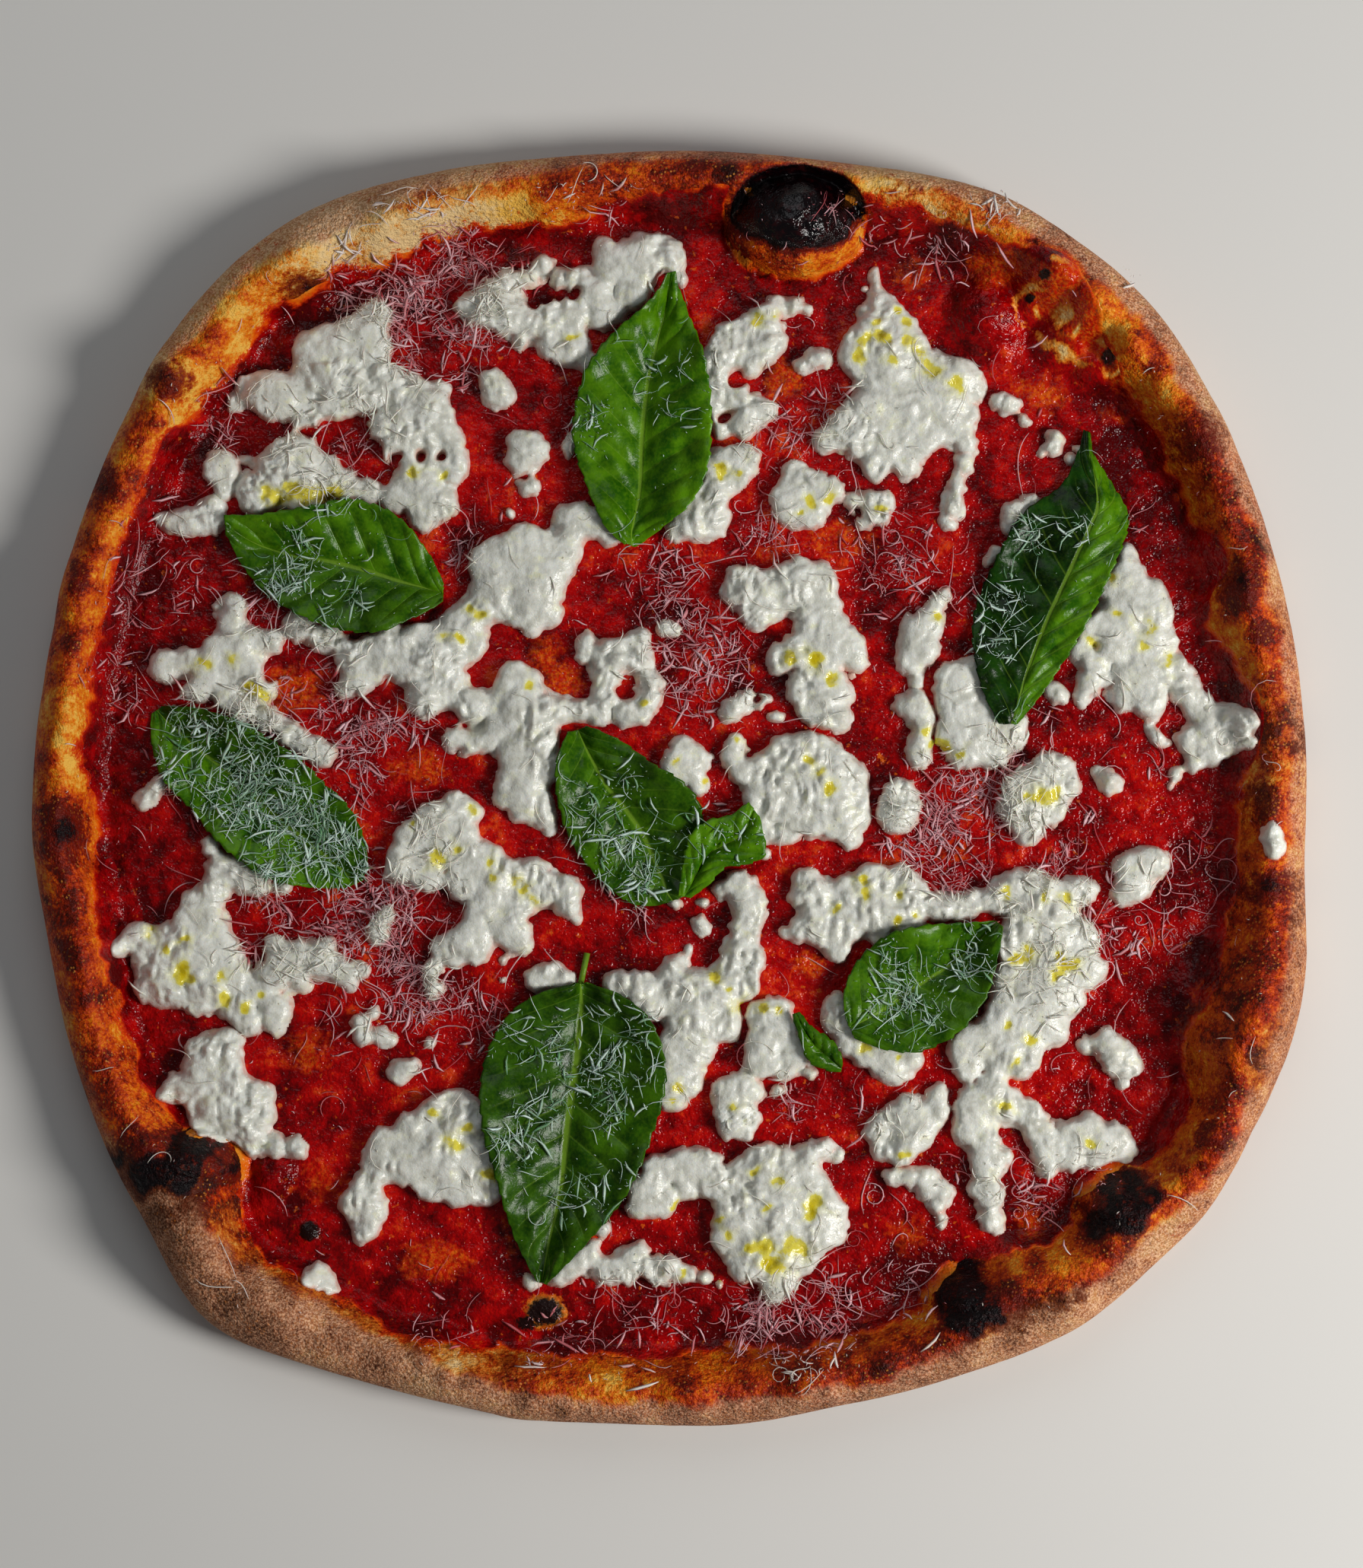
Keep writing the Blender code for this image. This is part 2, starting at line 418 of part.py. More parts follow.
def landing(objects):
    """A function that gives the height in mm under a point in mm, and the object."""
    vertices, faces, owners = [], [], []
    for thing in objects:
        start = len(vertices)
        vertices += [vertex.co.copy() for vertex in thing.data.vertices]
        faces += [[start + i for i in face.vertices] for face in thing.data.polygons]
        owners += [thing] * len(thing.data.polygons)
    tree = BVHTree.FromPolygons(vertices, faces)

    def land(x, y):
        start = Vector((x * MM, y * MM, 0.1))
        hit, _, face, _ = tree.ray_cast(start, Vector((0, 0, -1)))
        return (None, None) if hit is None else (hit.z / MM, owners[face])

    return land


def ground(objects):
    land = landing(objects)
    return lambda x, y: land(x, y)[0]


def highest_near(surface, x, y, reach):
    """The most that a surface rises to within reach of a point."""
    spots = [(x, y)]
    for distance in (reach / 2, reach):
        spots += [(x + distance * math.cos(k * math.pi / 4),
                   y + distance * math.sin(k * math.pi / 4)) for k in range(8)]
    return max(h for h in (surface(*spot) for spot in spots) if h is not None)


def burrata_piece(name, lumps, bed, finish, collection):
    """Flattened balls run together, with a flat underside on the sauce."""
    shape = bmesh.new()
    for x, y, radius in lumps:
        x, y = x - CENTRE[0], y - CENTRE[1]
        tall = (LUMP_TALL * radius + LUMP_ADD) * MM
        ground_height = highest_near(bed, x, y, LUMP_FOOT * radius)
        middle = (ground_height + LUMP_SINK * radius) * MM
        size = Matrix.Diagonal((radius * MM, radius * MM, tall, 1))
        place = Matrix.Translation((x * MM, y * MM, middle)) @ size
        bmesh.ops.create_icosphere(shape, subdivisions=2, radius=1, matrix=place)
    piece = add_object(name, shape, finish, collection)
    remesh = piece.modifiers.new("run together", "REMESH")
    remesh.mode = "VOXEL"
    remesh.voxel_size = VOXEL * MM
    soften = piece.modifiers.new("soften", "SMOOTH")
    soften.factor = 0.5
    soften.iterations = 3
    applied(piece)
    for vertex in piece.data.vertices:
        x, y = vertex.co.x / MM, vertex.co.y / MM
        vertex.co.z = max(vertex.co.z, (bed(x, y) + GAP) * MM)
    thin = piece.modifiers.new("thin", "DECIMATE")
    wanted = PIECE_TRIANGLES + LUMP_TRIANGLES * len(lumps)
    piece.data.calc_loop_triangles()
    thin.ratio = wanted / len(piece.data.loop_triangles)
    thin.use_collapse_triangulate = True
    applied(piece)
    for vertex in piece.data.vertices:
        x, y = vertex.co.x / MM, vertex.co.y / MM
        vertex.co.z = max(vertex.co.z, (highest_near(bed, x, y, BED_REACH) + GAP) * MM)
    return piece


def smooth_line(points, share):
    """Point at a share of a line's length, with its corners rounded off."""
    lengths = [math.dist(a, b) for a, b in zip(points, points[1:])]
    goal = share * sum(lengths)
    index = 0
    while index < len(lengths) - 1 and goal > lengths[index]:
        goal -= lengths[index]
        index += 1
    t = min(1, goal / lengths[index])
    p0, p1 = points[max(0, index - 1)], points[index]
    p2, p3 = points[index + 1], points[min(len(points) - 1, index + 2)]
    return tuple(
        0.5 * (2 * b + (c - a) * t + (2 * a - 5 * b + 4 * c - d) * t * t
               + (3 * b - a - 3 * c + d) * t ** 3)
        for a, b, c, d in zip(p0, p1, p2, p3)
    )


def leaf(name, edges, below, finish, collection):
    """A thin wavy sheet laid over what is under it."""
    along = max(5, round(math.dist(edges[0][0], edges[0][-1]) / 8))
    across = 4 if along > 5 else 2
    shape = bmesh.new()
    bmesh.ops.create_grid(shape, x_segments=across, y_segments=along, size=1)
    places, rest = {}, {}
    for vertex in shape.verts:
        row = round((vertex.co.y + 1) / 2 * along)
        column = round((vertex.co.x + 1) / 2 * across)
        first = smooth_line(edges[0], row / along)
        second = smooth_line(edges[1], row / along)
        share = column / across
        x = first[0] + (second[0] - first[0]) * share - CENTRE[0]
        y = first[1] + (second[1] - first[1]) * share - CENTRE[1]
        places[vertex] = (x, y, share)
        rest[vertex] = highest_near(below, x, y, LEAF_REACH) + GAP + 0.15
    lifted = dict(rest)
    for _ in range(5):
        lifted = {
            vertex: max(rest[vertex], sum(
                lifted[edge.other_vert(vertex)] for edge in vertex.link_edges
            ) / len(vertex.link_edges))
            for vertex in shape.verts
        }
    for vertex, (x, y, share) in places.items():
        curl = LEAF_CURL * (2 * share - 1) ** 2 if across > 2 else 0
        vertex.co = (x * MM, y * MM, (lifted[vertex] + curl) * MM)
    bmesh.ops.triangulate(shape, faces=shape.faces[:], quad_method="SHORT_EDGE")
    bmesh.ops.recalc_face_normals(shape, faces=shape.faces[:])
    if sum(face.normal.z for face in shape.faces) < 0:
        bmesh.ops.reverse_faces(shape, faces=shape.faces[:])
    made = add_object(name, shape, finish, collection)
    thicken = made.modifiers.new("thickness", "SOLIDIFY")
    thicken.thickness = LEAF_THICK * MM
    thicken.offset = 1
    return applied(made)


def shred_places(draw, land):
    """For each object, the middle, turn, slope and length of each shred on it."""
    places = {}
    for cx, cy, spread, count in SHREDS:
        found = tries = 0
        while found < count and tries < 80:
            tries += 1
            x = cx - CENTRE[0] + draw.uniform(-spread, spread)
            y = cy - CENTRE[1] + draw.uniform(-spread, spread)
            turn = draw.uniform(0, math.pi)
            length = draw.uniform(*SHRED_LENGTH)
            ux, uy = math.cos(turn), math.sin(turn)
            ends = length / 2 + 1.0
            spots = [(s * ends, w) for s in (-1, -0.5, 0, 0.5, 1)
                     for w in (-SHRED_CLEAR, 0, SHRED_CLEAR)]
            lands = [land(x + s * ux + w * uy, y + s * uy - w * ux) for s, w in spots]
            if len({owner for _, owner in lands}) > 1:
                continue
            slope = (lands[13][0] - lands[1][0]) / (2 * ends)
            middle = sum(height for height, _ in lands) / len(lands)
            off = [abs(height - middle - slope * s) for (height, _), (s, w)
                   in zip(lands, spots) if w == 0]
            if max(off) > MOST_UNEVEN or lands[0][1].name == "crust":
                continue
            place = (x, y, lands[7][0], turn, slope, length)
            places.setdefault(lands[0][1], []).append(place)
            found += 1
    return places


def shred(place, collection):
    x, y, height, turn, slope, length = place
    shape = bmesh.new()
    bmesh.ops.create_cube(shape, size=1)
    size = Matrix.Diagonal((length * MM, SHRED_WIDTH * MM, SHRED_TALL * MM, 1))
    middle = Matrix.Translation((x * MM, y * MM, (height + 0.2 * SHRED_TALL) * MM))
    tilt = Matrix.Rotation(-math.atan(slope), 4, "Y")
    shape.transform(middle @ Matrix.Rotation(turn, 4, "Z") @ tilt @ size)
    return add_object("shred", shape, None, collection)


def scrap(x, y, radius, height, collection):
    shape = bmesh.new()
    place = Matrix.Translation((x * MM, y * MM, (height + 0.4) * MM))
    size = Matrix.Diagonal((1, 1, 0.7, 1))
    bmesh.ops.create_icosphere(shape, subdivisions=1, radius=radius * MM,
                               matrix=place @ size)
    return add_object("scrap", shape, None, collection)


def fuse(target, toppings):
    """One union joins the collection's objects to the target, and removes them."""
    union = target.modifiers.new("toppings", "BOOLEAN")
    union.operation = "UNION"
    union.operand_type = "COLLECTION"
    union.collection = toppings
    applied(target)
    for topping in list(toppings.objects):
        bpy.data.objects.remove(topping)


def fuse_toppings(sauce, objects):
    """Shreds join what they land on, and scraps of burrata join the sauce."""
    toppings = bpy.data.collections.new("toppings")
    bpy.context.scene.collection.children.link(toppings)
    land = landing(objects)
    places = shred_places(random.Random(SEED), land)
    for target in objects:
        for place in places.get(target, []):
            shred(place, toppings)
        if target == sauce:
            for x, y, radius in SCRAPS:
                x, y = x - CENTRE[0], y - CENTRE[1]
                scrap(x, y, radius, land(x, y)[0], toppings)
        if toppings.objects:
            fuse(target, toppings)
    bpy.data.collections.remove(toppings)


def build():
    for old in list(bpy.data.objects):
        bpy.data.objects.remove(old)
    pizza = bpy.data.collections.new("burrata pizza")
    bpy.context.scene.collection.children.link(pizza)
    baked = material("baked dough", (0.58, 0.27, 0.07), 0.75)
    tomato = material("tomato sauce", (0.32, 0.012, 0.008), 0.35)
    cream = material("burrata", (0.84, 0.82, 0.76), 0.4)
    green = material("basil", (0.05, 0.18, 0.02), 0.35)

    crust = turned_body("crust", crust_section, baked, pizza)
    sauce = turned_body("sauce", sauce_section, tomato, pizza)
    bed = ground([crust, sauce])
    pieces = [
        burrata_piece(f"burrata_{number:02d}", lumps, bed, cream, pizza)
        for number, lumps in enumerate(BURRATA, 1)
    ]
    leaves = []
    for number, edges in enumerate(LEAVES, 1):
        below = ground([crust, sauce] + pieces + leaves)
        leaves.append(leaf(f"basil_{number}", edges, below, green, pizza))
    fuse_toppings(sauce, [crust, sauce] + pieces + leaves)


build()
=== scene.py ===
import math
import time

import bpy
import numpy as np
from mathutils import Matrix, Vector


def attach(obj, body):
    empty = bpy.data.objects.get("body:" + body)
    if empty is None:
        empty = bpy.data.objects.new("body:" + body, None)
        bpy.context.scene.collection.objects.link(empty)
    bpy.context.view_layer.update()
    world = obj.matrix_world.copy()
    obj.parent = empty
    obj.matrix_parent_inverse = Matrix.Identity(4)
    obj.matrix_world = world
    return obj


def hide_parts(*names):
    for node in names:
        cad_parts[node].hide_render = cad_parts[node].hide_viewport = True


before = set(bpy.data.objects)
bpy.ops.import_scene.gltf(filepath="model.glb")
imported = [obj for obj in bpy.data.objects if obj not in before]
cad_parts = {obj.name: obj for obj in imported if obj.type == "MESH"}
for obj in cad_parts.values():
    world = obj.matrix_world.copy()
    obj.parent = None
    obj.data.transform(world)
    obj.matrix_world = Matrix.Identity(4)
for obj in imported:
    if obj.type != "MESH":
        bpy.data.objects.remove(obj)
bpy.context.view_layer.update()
started = time.time()

# Places are millimetres over the pizza, X right and Y up the picture, and angles are degrees
# anticlockwise from the right. The frame's origin is at pizzaCentre.
mm = 0.001
pizzaCentre = np.array((0.4, -0.2, 0))


def report(stage):
    print(f"{stage}: {time.time() - started:.0f} s")


def rgb(red, green, blue):
    # a screen's colour, made linear
    linear = [((c / 255 + 0.055) / 1.055) ** 2.4 if c > 10 else c / 3295 for c in (red, green, blue)]
    return (*linear, 1)


latticeSize = 64
lattice = np.random.default_rng(7).random((latticeSize,) * 3).astype(np.float32)


def noise(points, size, shift=0.0):
    # smooth random values from -1 to 1, whose lumps are about size across
    spot = np.asarray(points, float) / size + shift
    low = np.floor(spot).astype(int)
    part = spot - low
    part = part * part * (3 - 2 * part)
    ends, shares = (low % latticeSize, (low + 1) % latticeSize), (1 - part, part)
    total = 0
    for i, j, k in np.ndindex(2, 2, 2):
        corner = lattice[ends[i][..., 0], ends[j][..., 1], ends[k][..., 2]]
        total = total + corner * shares[i][..., 0] * shares[j][..., 1] * shares[k][..., 2]
    return total * 2 - 1


def ripples(points, *layers):
    # noise added up: the height, size and shift of each layer
    return sum(height * noise(points, size, shift) for height, size, shift in layers)


def flat(x, y):
    return np.stack([x, y, np.zeros_like(x)], -1)


def polar(x, y):
    return np.hypot(x, y), np.degrees(np.arctan2(y, x)) % 360


def around(radius, turn):
    angle = np.radians(turn)
    return radius * np.cos(angle), radius * np.sin(angle)


def ease(value, low, high):
    # 0 under low, 1 over high and smooth between
    share = np.clip((value - low) / (high - low), 0, 1)
    return share * share * (3 - 2 * share)


perDegree = 4


def ringTable(entries, blur):
    # values by angle, with the corners between the entries rounded off
    angle, value = np.array(entries, float).T
    line = np.interp(np.arange(360 * perDegree) / perDegree, angle, value, period=360)
    reach = 15 * perDegree
    weight = np.exp(-0.5 * (np.arange(-reach, reach + 1) / perDegree / blur) ** 2)
    return np.convolve(np.pad(line, reach, mode="wrap"), weight / weight.sum(), "valid")


def readRing(table, turn):
    angles = np.arange(len(table) + 1) / perDegree
    return np.interp(np.asarray(turn) % 360, angles, np.append(table, table[0]))


def spots(x, y, places, fall=0.8):
    # the strongest of many oval patches: x, y, half width, half height, strength
    most = np.zeros_like(x)
    for px, py, across, tall, strength in places:
        near = ((x - px) / across) ** 2 + ((y - py) / tall) ** 2
        most = np.maximum(most, strength * np.clip(1 - near, 0, 1) ** fall)
    return most


def bulge(x, y, places):
    # the highest of many round bubbles: x, y, radius, rise
    return spots(x, y, [(px, py, radius, radius, rise) for px, py, radius, rise in places], 1.5)


def mode(name):
    bpy.ops.object.mode_set(mode=name)


def deselect():
    if bpy.context.object and bpy.context.object.mode != "OBJECT":
        mode("OBJECT")
    bpy.ops.object.select_all(action="DESELECT")


def activate(thing):
    deselect()
    thing.select_set(True)
    bpy.context.view_layer.objects.active = thing


def named(name):
    made = bpy.context.object
    made.name = made.data.name = name
    return made


def addGrid(name, columns, rows):
    deselect()
    bpy.ops.mesh.primitive_grid_add(x_subdivisions=columns, y_subdivisions=rows, size=2)
    return named(name)


def readPoints(thing):
    points = np.empty(len(thing.data.vertices) * 3, np.float32)
    thing.data.vertices.foreach_get("co", points)
    return points.reshape(-1, 3).astype(float)


def writePoints(thing, points):
    thing.data.vertices.foreach_set("co", np.asarray(points, np.float32).ravel())
    thing.data.update()


def toPizza(points):
    # metres in the frame to millimetres in the picture
    return points / mm + pizzaCentre


def toFrame(points):
    return (points - pizzaCentre) * mm


def faceOutwards(thing):
    activate(thing)
    mode("EDIT")
    bpy.ops.mesh.select_all(action="SELECT")
    bpy.ops.mesh.normals_make_consistent(inside=False)
    mode("OBJECT")


def addAttributes(thing, **values):
    for name, value in values.items():
        layer = thing.data.attributes.new(name, "FLOAT", "POINT")
        layer.data.foreach_set("value", np.asarray(value, np.float32))


def finishPiece(thing, finish, nodes=()):
    thing.data.materials.clear()
    thing.data.materials.append(finish)
    thing.data.shade_smooth()
    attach(thing, "root")
    if nodes:
        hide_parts(*nodes)


def newMaterial(name):
    made = bpy.data.materials.new(name)
    made.use_nodes = True
    return made, made.node_tree, made.node_tree.nodes["Principled BSDF"]


def give(tree, node, inputs):
    # links what comes from another node, and sets what is a number or a colour
    for label, value in inputs.items():
        if isinstance(value, bpy.types.NodeSocket):
            tree.links.new(value, node.inputs[label])
        else:
            node.inputs[label].default_value = value


def put(tree, kind, inputs=None, **settings):
    node = tree.nodes.new("ShaderNode" + kind)
    for key, value in settings.items():
        setattr(node, key, value)
    give(tree, node, inputs or {})
    return node


def maths(tree, operation, *values, clamp=False):
    return put(tree, "Math", dict(enumerate(values)), operation=operation, use_clamp=clamp).outputs[0]


def times(tree, first, second):
    return maths(tree, "MULTIPLY", first, second)


def weigh(tree, value, *parts):
    # the value with a share of each part added
    for part, share in parts:
        value = maths(tree, "MULTIPLY_ADD", part, share, value)
    return value


def centred(tree, value):
    return maths(tree, "SUBTRACT", value, 0.5)


def inverse(tree, value):
    return maths(tree, "SUBTRACT", 1.0, value)


def between(tree, value, low, high):
    # 0 under low and 1 over high
    return put(tree, "MapRange", {"Value": value, "From Min": low, "From Max": high},
               interpolation_type="SMOOTHSTEP").outputs["Result"]


def mixColour(tree, share, first, second):
    return put(tree, "Mix", {0: share, 6: first, 7: second}, data_type="RGBA").outputs[2]


def attribute(tree, name):
    return put(tree, "Attribute", attribute_name=name).outputs["Fac"]


def objectSpace(tree):
    return put(tree, "TexCoord").outputs["Object"]


def grain(tree, size, detail=2.0, rough=0.5, distortion=0.0):
    # noise whose lumps are size millimetres across
    return put(tree, "TexNoise", {"Vector": objectSpace(tree), "Scale": 1 / (size * mm), "Detail": detail,
                                  "Roughness": rough, "Distortion": distortion}).outputs["Fac"]


def ramp(tree, value, *stops):
    node = put(tree, "ValToRGB", {0: value})
    points = node.color_ramp.elements
    while len(points) < len(stops):
        points.new(0.5)
    for point, (position, colour) in zip(points, stops):
        point.position = position
        point.color = rgb(*colour)
    return node.outputs["Color"]


def makeGroup(name, numbers, output, kind="Float"):
    group = bpy.data.node_groups.new(name, "ShaderNodeTree")
    for label, value in numbers.items():
        socket = group.interface.new_socket(label, in_out="INPUT", socket_type="NodeSocketFloat")
        socket.default_value = value
    group.interface.new_socket(output, in_out="OUTPUT", socket_type="NodeSocket" + kind)
    given = group.nodes.new("NodeGroupInput").outputs
    return group, given, group.nodes.new("NodeGroupOutput")


def useGroup(tree, group, **numbers):
    inputs = {label.replace("_", " "): value for label, value in numbers.items()}
    return put(tree, "Group", inputs, node_tree=group).outputs[0]


def makeSpeckle():
    # small ragged patches: a mask that is 1 inside them
    group, given, result = makeGroup(
        "ragged speckle", {"Patches per metre": 900, "Least": 0.55, "Soft": 0.08}, "Mask")
    patches = put(group, "TexNoise", {"Vector": objectSpace(group), "Scale": given[0], "Detail": 3.0,
                                      "Roughness": 0.6}).outputs["Fac"]
    mask = put(group, "MapRange", {"Value": patches, "From Min": given[1],
                                   "From Max": maths(group, "ADD", given[1], given[2])})
    give(group, result, {0: mask.outputs["Result"]})
    return group


def makeDots():
    # round spots at even distances: a mask that is 1 in their middles
    group, given, result = makeGroup("small round dots", {"Dots per metre": 800, "Size": 0.3}, "Mask")
    away = put(group, "TexVoronoi", {"Vector": objectSpace(group), "Scale": given[0]}).outputs["Distance"]
    mask = put(group, "MapRange", {"Value": away, "From Min": given[1], "From Max": 0.15})
    give(group, result, {0: mask.outputs["Result"]})
    return group


def makeRelief():
    # two sizes of fine bumps as a normal
    group, given, result = makeGroup(
        "fine relief", {"Bumps per metre": 900, "Height in mm": 0.2}, "Normal", "Vector")
    coarse = put(group, "TexNoise", {"Vector": objectSpace(group), "Scale": given[0], "Detail": 2.0})
    fine = put(group, "TexNoise", {"Vector": objectSpace(group), "Scale": times(group, given[0], 3.1),
                                   "Detail": 1.0})
    both = weigh(group, coarse.outputs["Fac"], (fine.outputs["Fac"], 0.35))
    height = times(group, times(group, both, given[1]), mm)
    bump = put(group, "Bump", {"Height": height, "Strength": 1.0, "Distance": 1.0})
    give(group, result, {0: bump.outputs["Normal"]})
    return group


speckle = makeSpeckle()
dots = makeDots()
fineRelief = makeRelief()

# the dough's form, which the sauce and the toppings follow
dough = {
    "floor": 3.5,              # thickness under the sauce
    "crest": 0.58,             # where across the rim its crest lies
    "shoulder": 0.40,          # height of the outermost line as a share of the crest
    "leastRim": 20.0,
    "lap": 5.0,                # how far the sauce climbs the rim
    "foot": 4.5,               # how far the underside draws in
    "footCircle": 150,         # where the wander of the rim's inner foot is read
    "ringsIn": 8,              # how far inside the sauce's edge the rim's fine rings start
    "bigDip": 0.62,            # share of its height that the rim loses beside the big blister
    "smallBlisters": 90,
    # layers of noise
    "swells": ((0.7, 24, 0), (0.45, 10, 3), (0.20, 4.5, 5), (0.16, 2.4, 6)),
    "footWander": ((1.8, 15, 13), (0.8, 6, 14)),
    "sauceWander": ((1.3, 7, 11), (0.7, 2.6, 12)),
}
# angle and radius of the pizza's outer edge, height of the rim's crest, radius of the sauce's edge
outerEdge = ringTable((
    (0, 167), (7, 167), (14, 168.3), (19, 169), (25, 171), (28, 172), (31, 173), (37, 175.6), (43, 178.6),
    (48, 179.4), (56, 178.6), (60, 178.8), (63, 177.3), (66, 174.9), (70, 172.6), (73, 170.3), (80, 168.2),
    (90, 167.2), (97, 167.5), (104, 169.6), (107, 171.5), (114, 174.5), (117, 176.7), (120, 178.5),
    (124, 179.6), (128, 179.9), (132, 179.1), (137, 177.8), (143, 174.4), (149, 172.2), (152, 170.8),
    (159, 169), (165, 167.3), (173, 166.5), (178, 167.1), (186, 168), (192, 167.7), (198, 168.8),
    (201, 170.7), (206, 172.3), (211, 174.8), (215, 176.6), (218, 177.7), (221, 179), (224, 181.3),
    (225, 183.5), (227, 185.1), (228, 186), (230, 185.8), (232, 185), (233, 183.5), (236, 180.3),
    (240, 177.2), (243, 175.1), (250, 171.5), (257, 170.3), (263, 167.4), (270, 167.2), (277, 168.2),
    (284, 167.4), (291, 169.9), (298, 172.3), (301, 174.4), (305, 176.3), (310, 178.3), (313, 177.6),
    (316, 178.1), (321, 179.7), (324, 178.8), (329, 176.6), (334, 176.4), (339, 175.2), (340, 174.2),
    (343, 174.3), (346, 171.3), (350, 168.8), (353, 167.2), (357, 166.7)), 2.2)
crestHeight = ringTable((
    (0, 17), (25, 19), (45, 21), (78, 22), (95, 17), (120, 20), (150, 18), (175, 21), (200, 18), (218, 21),
    (240, 17), (262, 18), (285, 17), (300, 20), (320, 18), (338, 23), (350, 18)), 5)
sauceEdge = ringTable((
    (0, 151), (7, 157), (14, 151), (18, 147), (22, 160), (27, 155), (30, 157), (36, 157.6), (41, 161),
    (45, 163), (53, 173.6), (58, 167), (64, 165.5), (69, 162.7), (75, 162.5), (85, 158), (90, 157),
    (97, 154.3), (103, 150.7), (106, 154.8), (113, 156.8), (120, 159), (125, 162.5), (131, 164.4),
    (136, 158.4), (141, 160.4), (147, 161), (154, 159.2), (161, 155.3), (170, 154.4), (178, 154),
    (187, 152.3), (193, 156), (200, 155.3), (205, 157.9), (210, 158.6), (215, 156.5), (220, 149),
    (223.5, 157), (226, 163.4), (229, 164.4), (232.5, 161.2), (237, 160.3), (242, 161), (248, 158.3),
    (255, 154.8), (262, 151.3), (270, 150), (278, 148.9), (285, 152.3), (291, 153), (297, 152),
    (301, 148.9), (306, 150.4), (311, 159.6), (315, 154), (319, 157), (323, 161), (329, 160.7),
    (334, 150.7), (341, 151.5), (347, 151.9), (353, 150.2), (357, 150.2)), 1.2)

# charred blisters: x, y, half width, half height, height of the top, and how round it is
domes = (
    (33, 148.2, 18.4, 14.6, 24, 0.5), (-129, -100, 17, 10.5, 24, 0.6), (78, -136.5, 12, 11, 19.5, 0.9),
    (117, -112, 11, 12, 19.5, 0.9))
# bubbles in the dough: x, y, radius, rise
bubbles = (
    (97, 130, 12, 7.5), (106, 121, 13, 9), (115, 112, 11, 8), (84, 125, 13, 7), (148, -62, 22, 7),
    (-131, -100, 15, 3), (-119, -100, 8, 2), (78, -138, 12, 2), (118, -114, 11, 1.5), (-97, 134, 12, 4),
    (-134, 108, 12, 4), (-158, 16, 12, 2.5), (-160, -14, 12, 2), (-158, 52, 11, 3), (152, 52, 11, 3),
    (140, 92, 11, 4), (157, -4, 10, 3), (-104, -134, 14, 3), (4, -158, 10, 3), (104, -137, 10, 3),
    (143, -93, 10, 3), (-60, -152, 12, 2), (-25, 155, 14, 3), (-125, -118, 16, 4), (-70, 148, 14, 3),
    (36, -157, 10, 3), (-152, -45, 12, 3), (-104, -102, 7, 2), (-95, -117, 3, 1.5), (-33, -138, 5, 1))
# how much further in the rim's fine rings start, under the bubbles: angle, width, reach
deepStarts = ((77, 9, 30), (219, 8, 14), (48, 14, 32), (336, 10, 10), (300, 8, 6), (256, 3, 14))


def strewnBlisters():
    draw = np.random.default_rng(5)
    found = []
    for turn in draw.uniform(0, 360, dough["smallBlisters"]):
        outer, inner = readRing(outerEdge, turn), readRing(sauceEdge, turn)
        radius = inner + (outer - inner) * draw.uniform(0.15, 0.8)
        size = draw.uniform(2.2, 5.5)
        found.append((*around(radius, turn), size, size * draw.uniform(0.12, 0.24)))
    return found


blisters = strewnBlisters()


def ringStart(turn):
    start = readRing(sauceEdge, turn) - dough["ringsIn"]
    for middle, width, reach in deepStarts:
        start = start - reach * np.exp(-((turn - middle) / width) ** 4)
    return start


def acrossRim(radius, turn):
    # 0 at the rim's inner foot and 1 at the outer edge
    outer = readRing(outerEdge, turn)
    foot = np.minimum(readRing(sauceEdge, turn) - dough["lap"], outer - dough["leastRim"])
    foot = foot + ripples(flat(*around(dough["footCircle"], turn)), *dough["footWander"])
    return np.clip((radius - foot) / (outer - foot), 0, 1)


def inDomes(x, y):
    # for each charred blister, 0 at its middle and 1 at its foot
    crinkle = 0.05 * noise(flat(x, y), 5, 61)
    return [(((x - px) / across) ** 2 + ((y - py) / tall) ** 2 + crinkle, top, steep)
            for px, py, across, tall, top, steep in domes]


def crustHeight(x, y):
    radius, turn = polar(x, y)
    across = acrossRim(radius, turn)
    place = flat(x, y)
    crest, shoulder = dough["crest"], dough["shoulder"]
    inside = np.sin(np.pi / 2 * np.clip(across / crest, 0, 1)) ** 1.6
    fall = np.clip((across - crest) / (1 - crest), 0, 1)
    outside = shoulder + (1 - shoulder) * np.sqrt(1 - fall * fall)
    rise = (readRing(crestHeight, turn) - dough["floor"]) * np.where(across < crest, inside, outside)
    relief = ripples(place, *dough["swells"]) * ease(across, 0.05, 0.35) + bulge(x, y, blisters)
    height = dough["floor"] + rise + bulge(x, y, bubbles) + relief
    wrinkle = (0.4 * noise(place, 3.4, 62) + 1.3 * np.abs(noise(place, 5.2, 63))
               + 0.5 * np.abs(noise(place, 2.4, 66)))
    for number, (near, top, steep) in enumerate(inDomes(x, y)):
        inside = np.clip(1 - near, 0, 1)
        if not number:
            # the big one stands clear of the rim behind it
            height = height - dough["bigDip"] * (height - dough["floor"]) * ease(inside, 0, 0.35)
        puffed = dough["floor"] - 1 + (top - dough["floor"] + 1) * inside ** steep
        height = np.maximum(height, puffed - wrinkle * ease(inside, 0.05, 0.4))
    return height


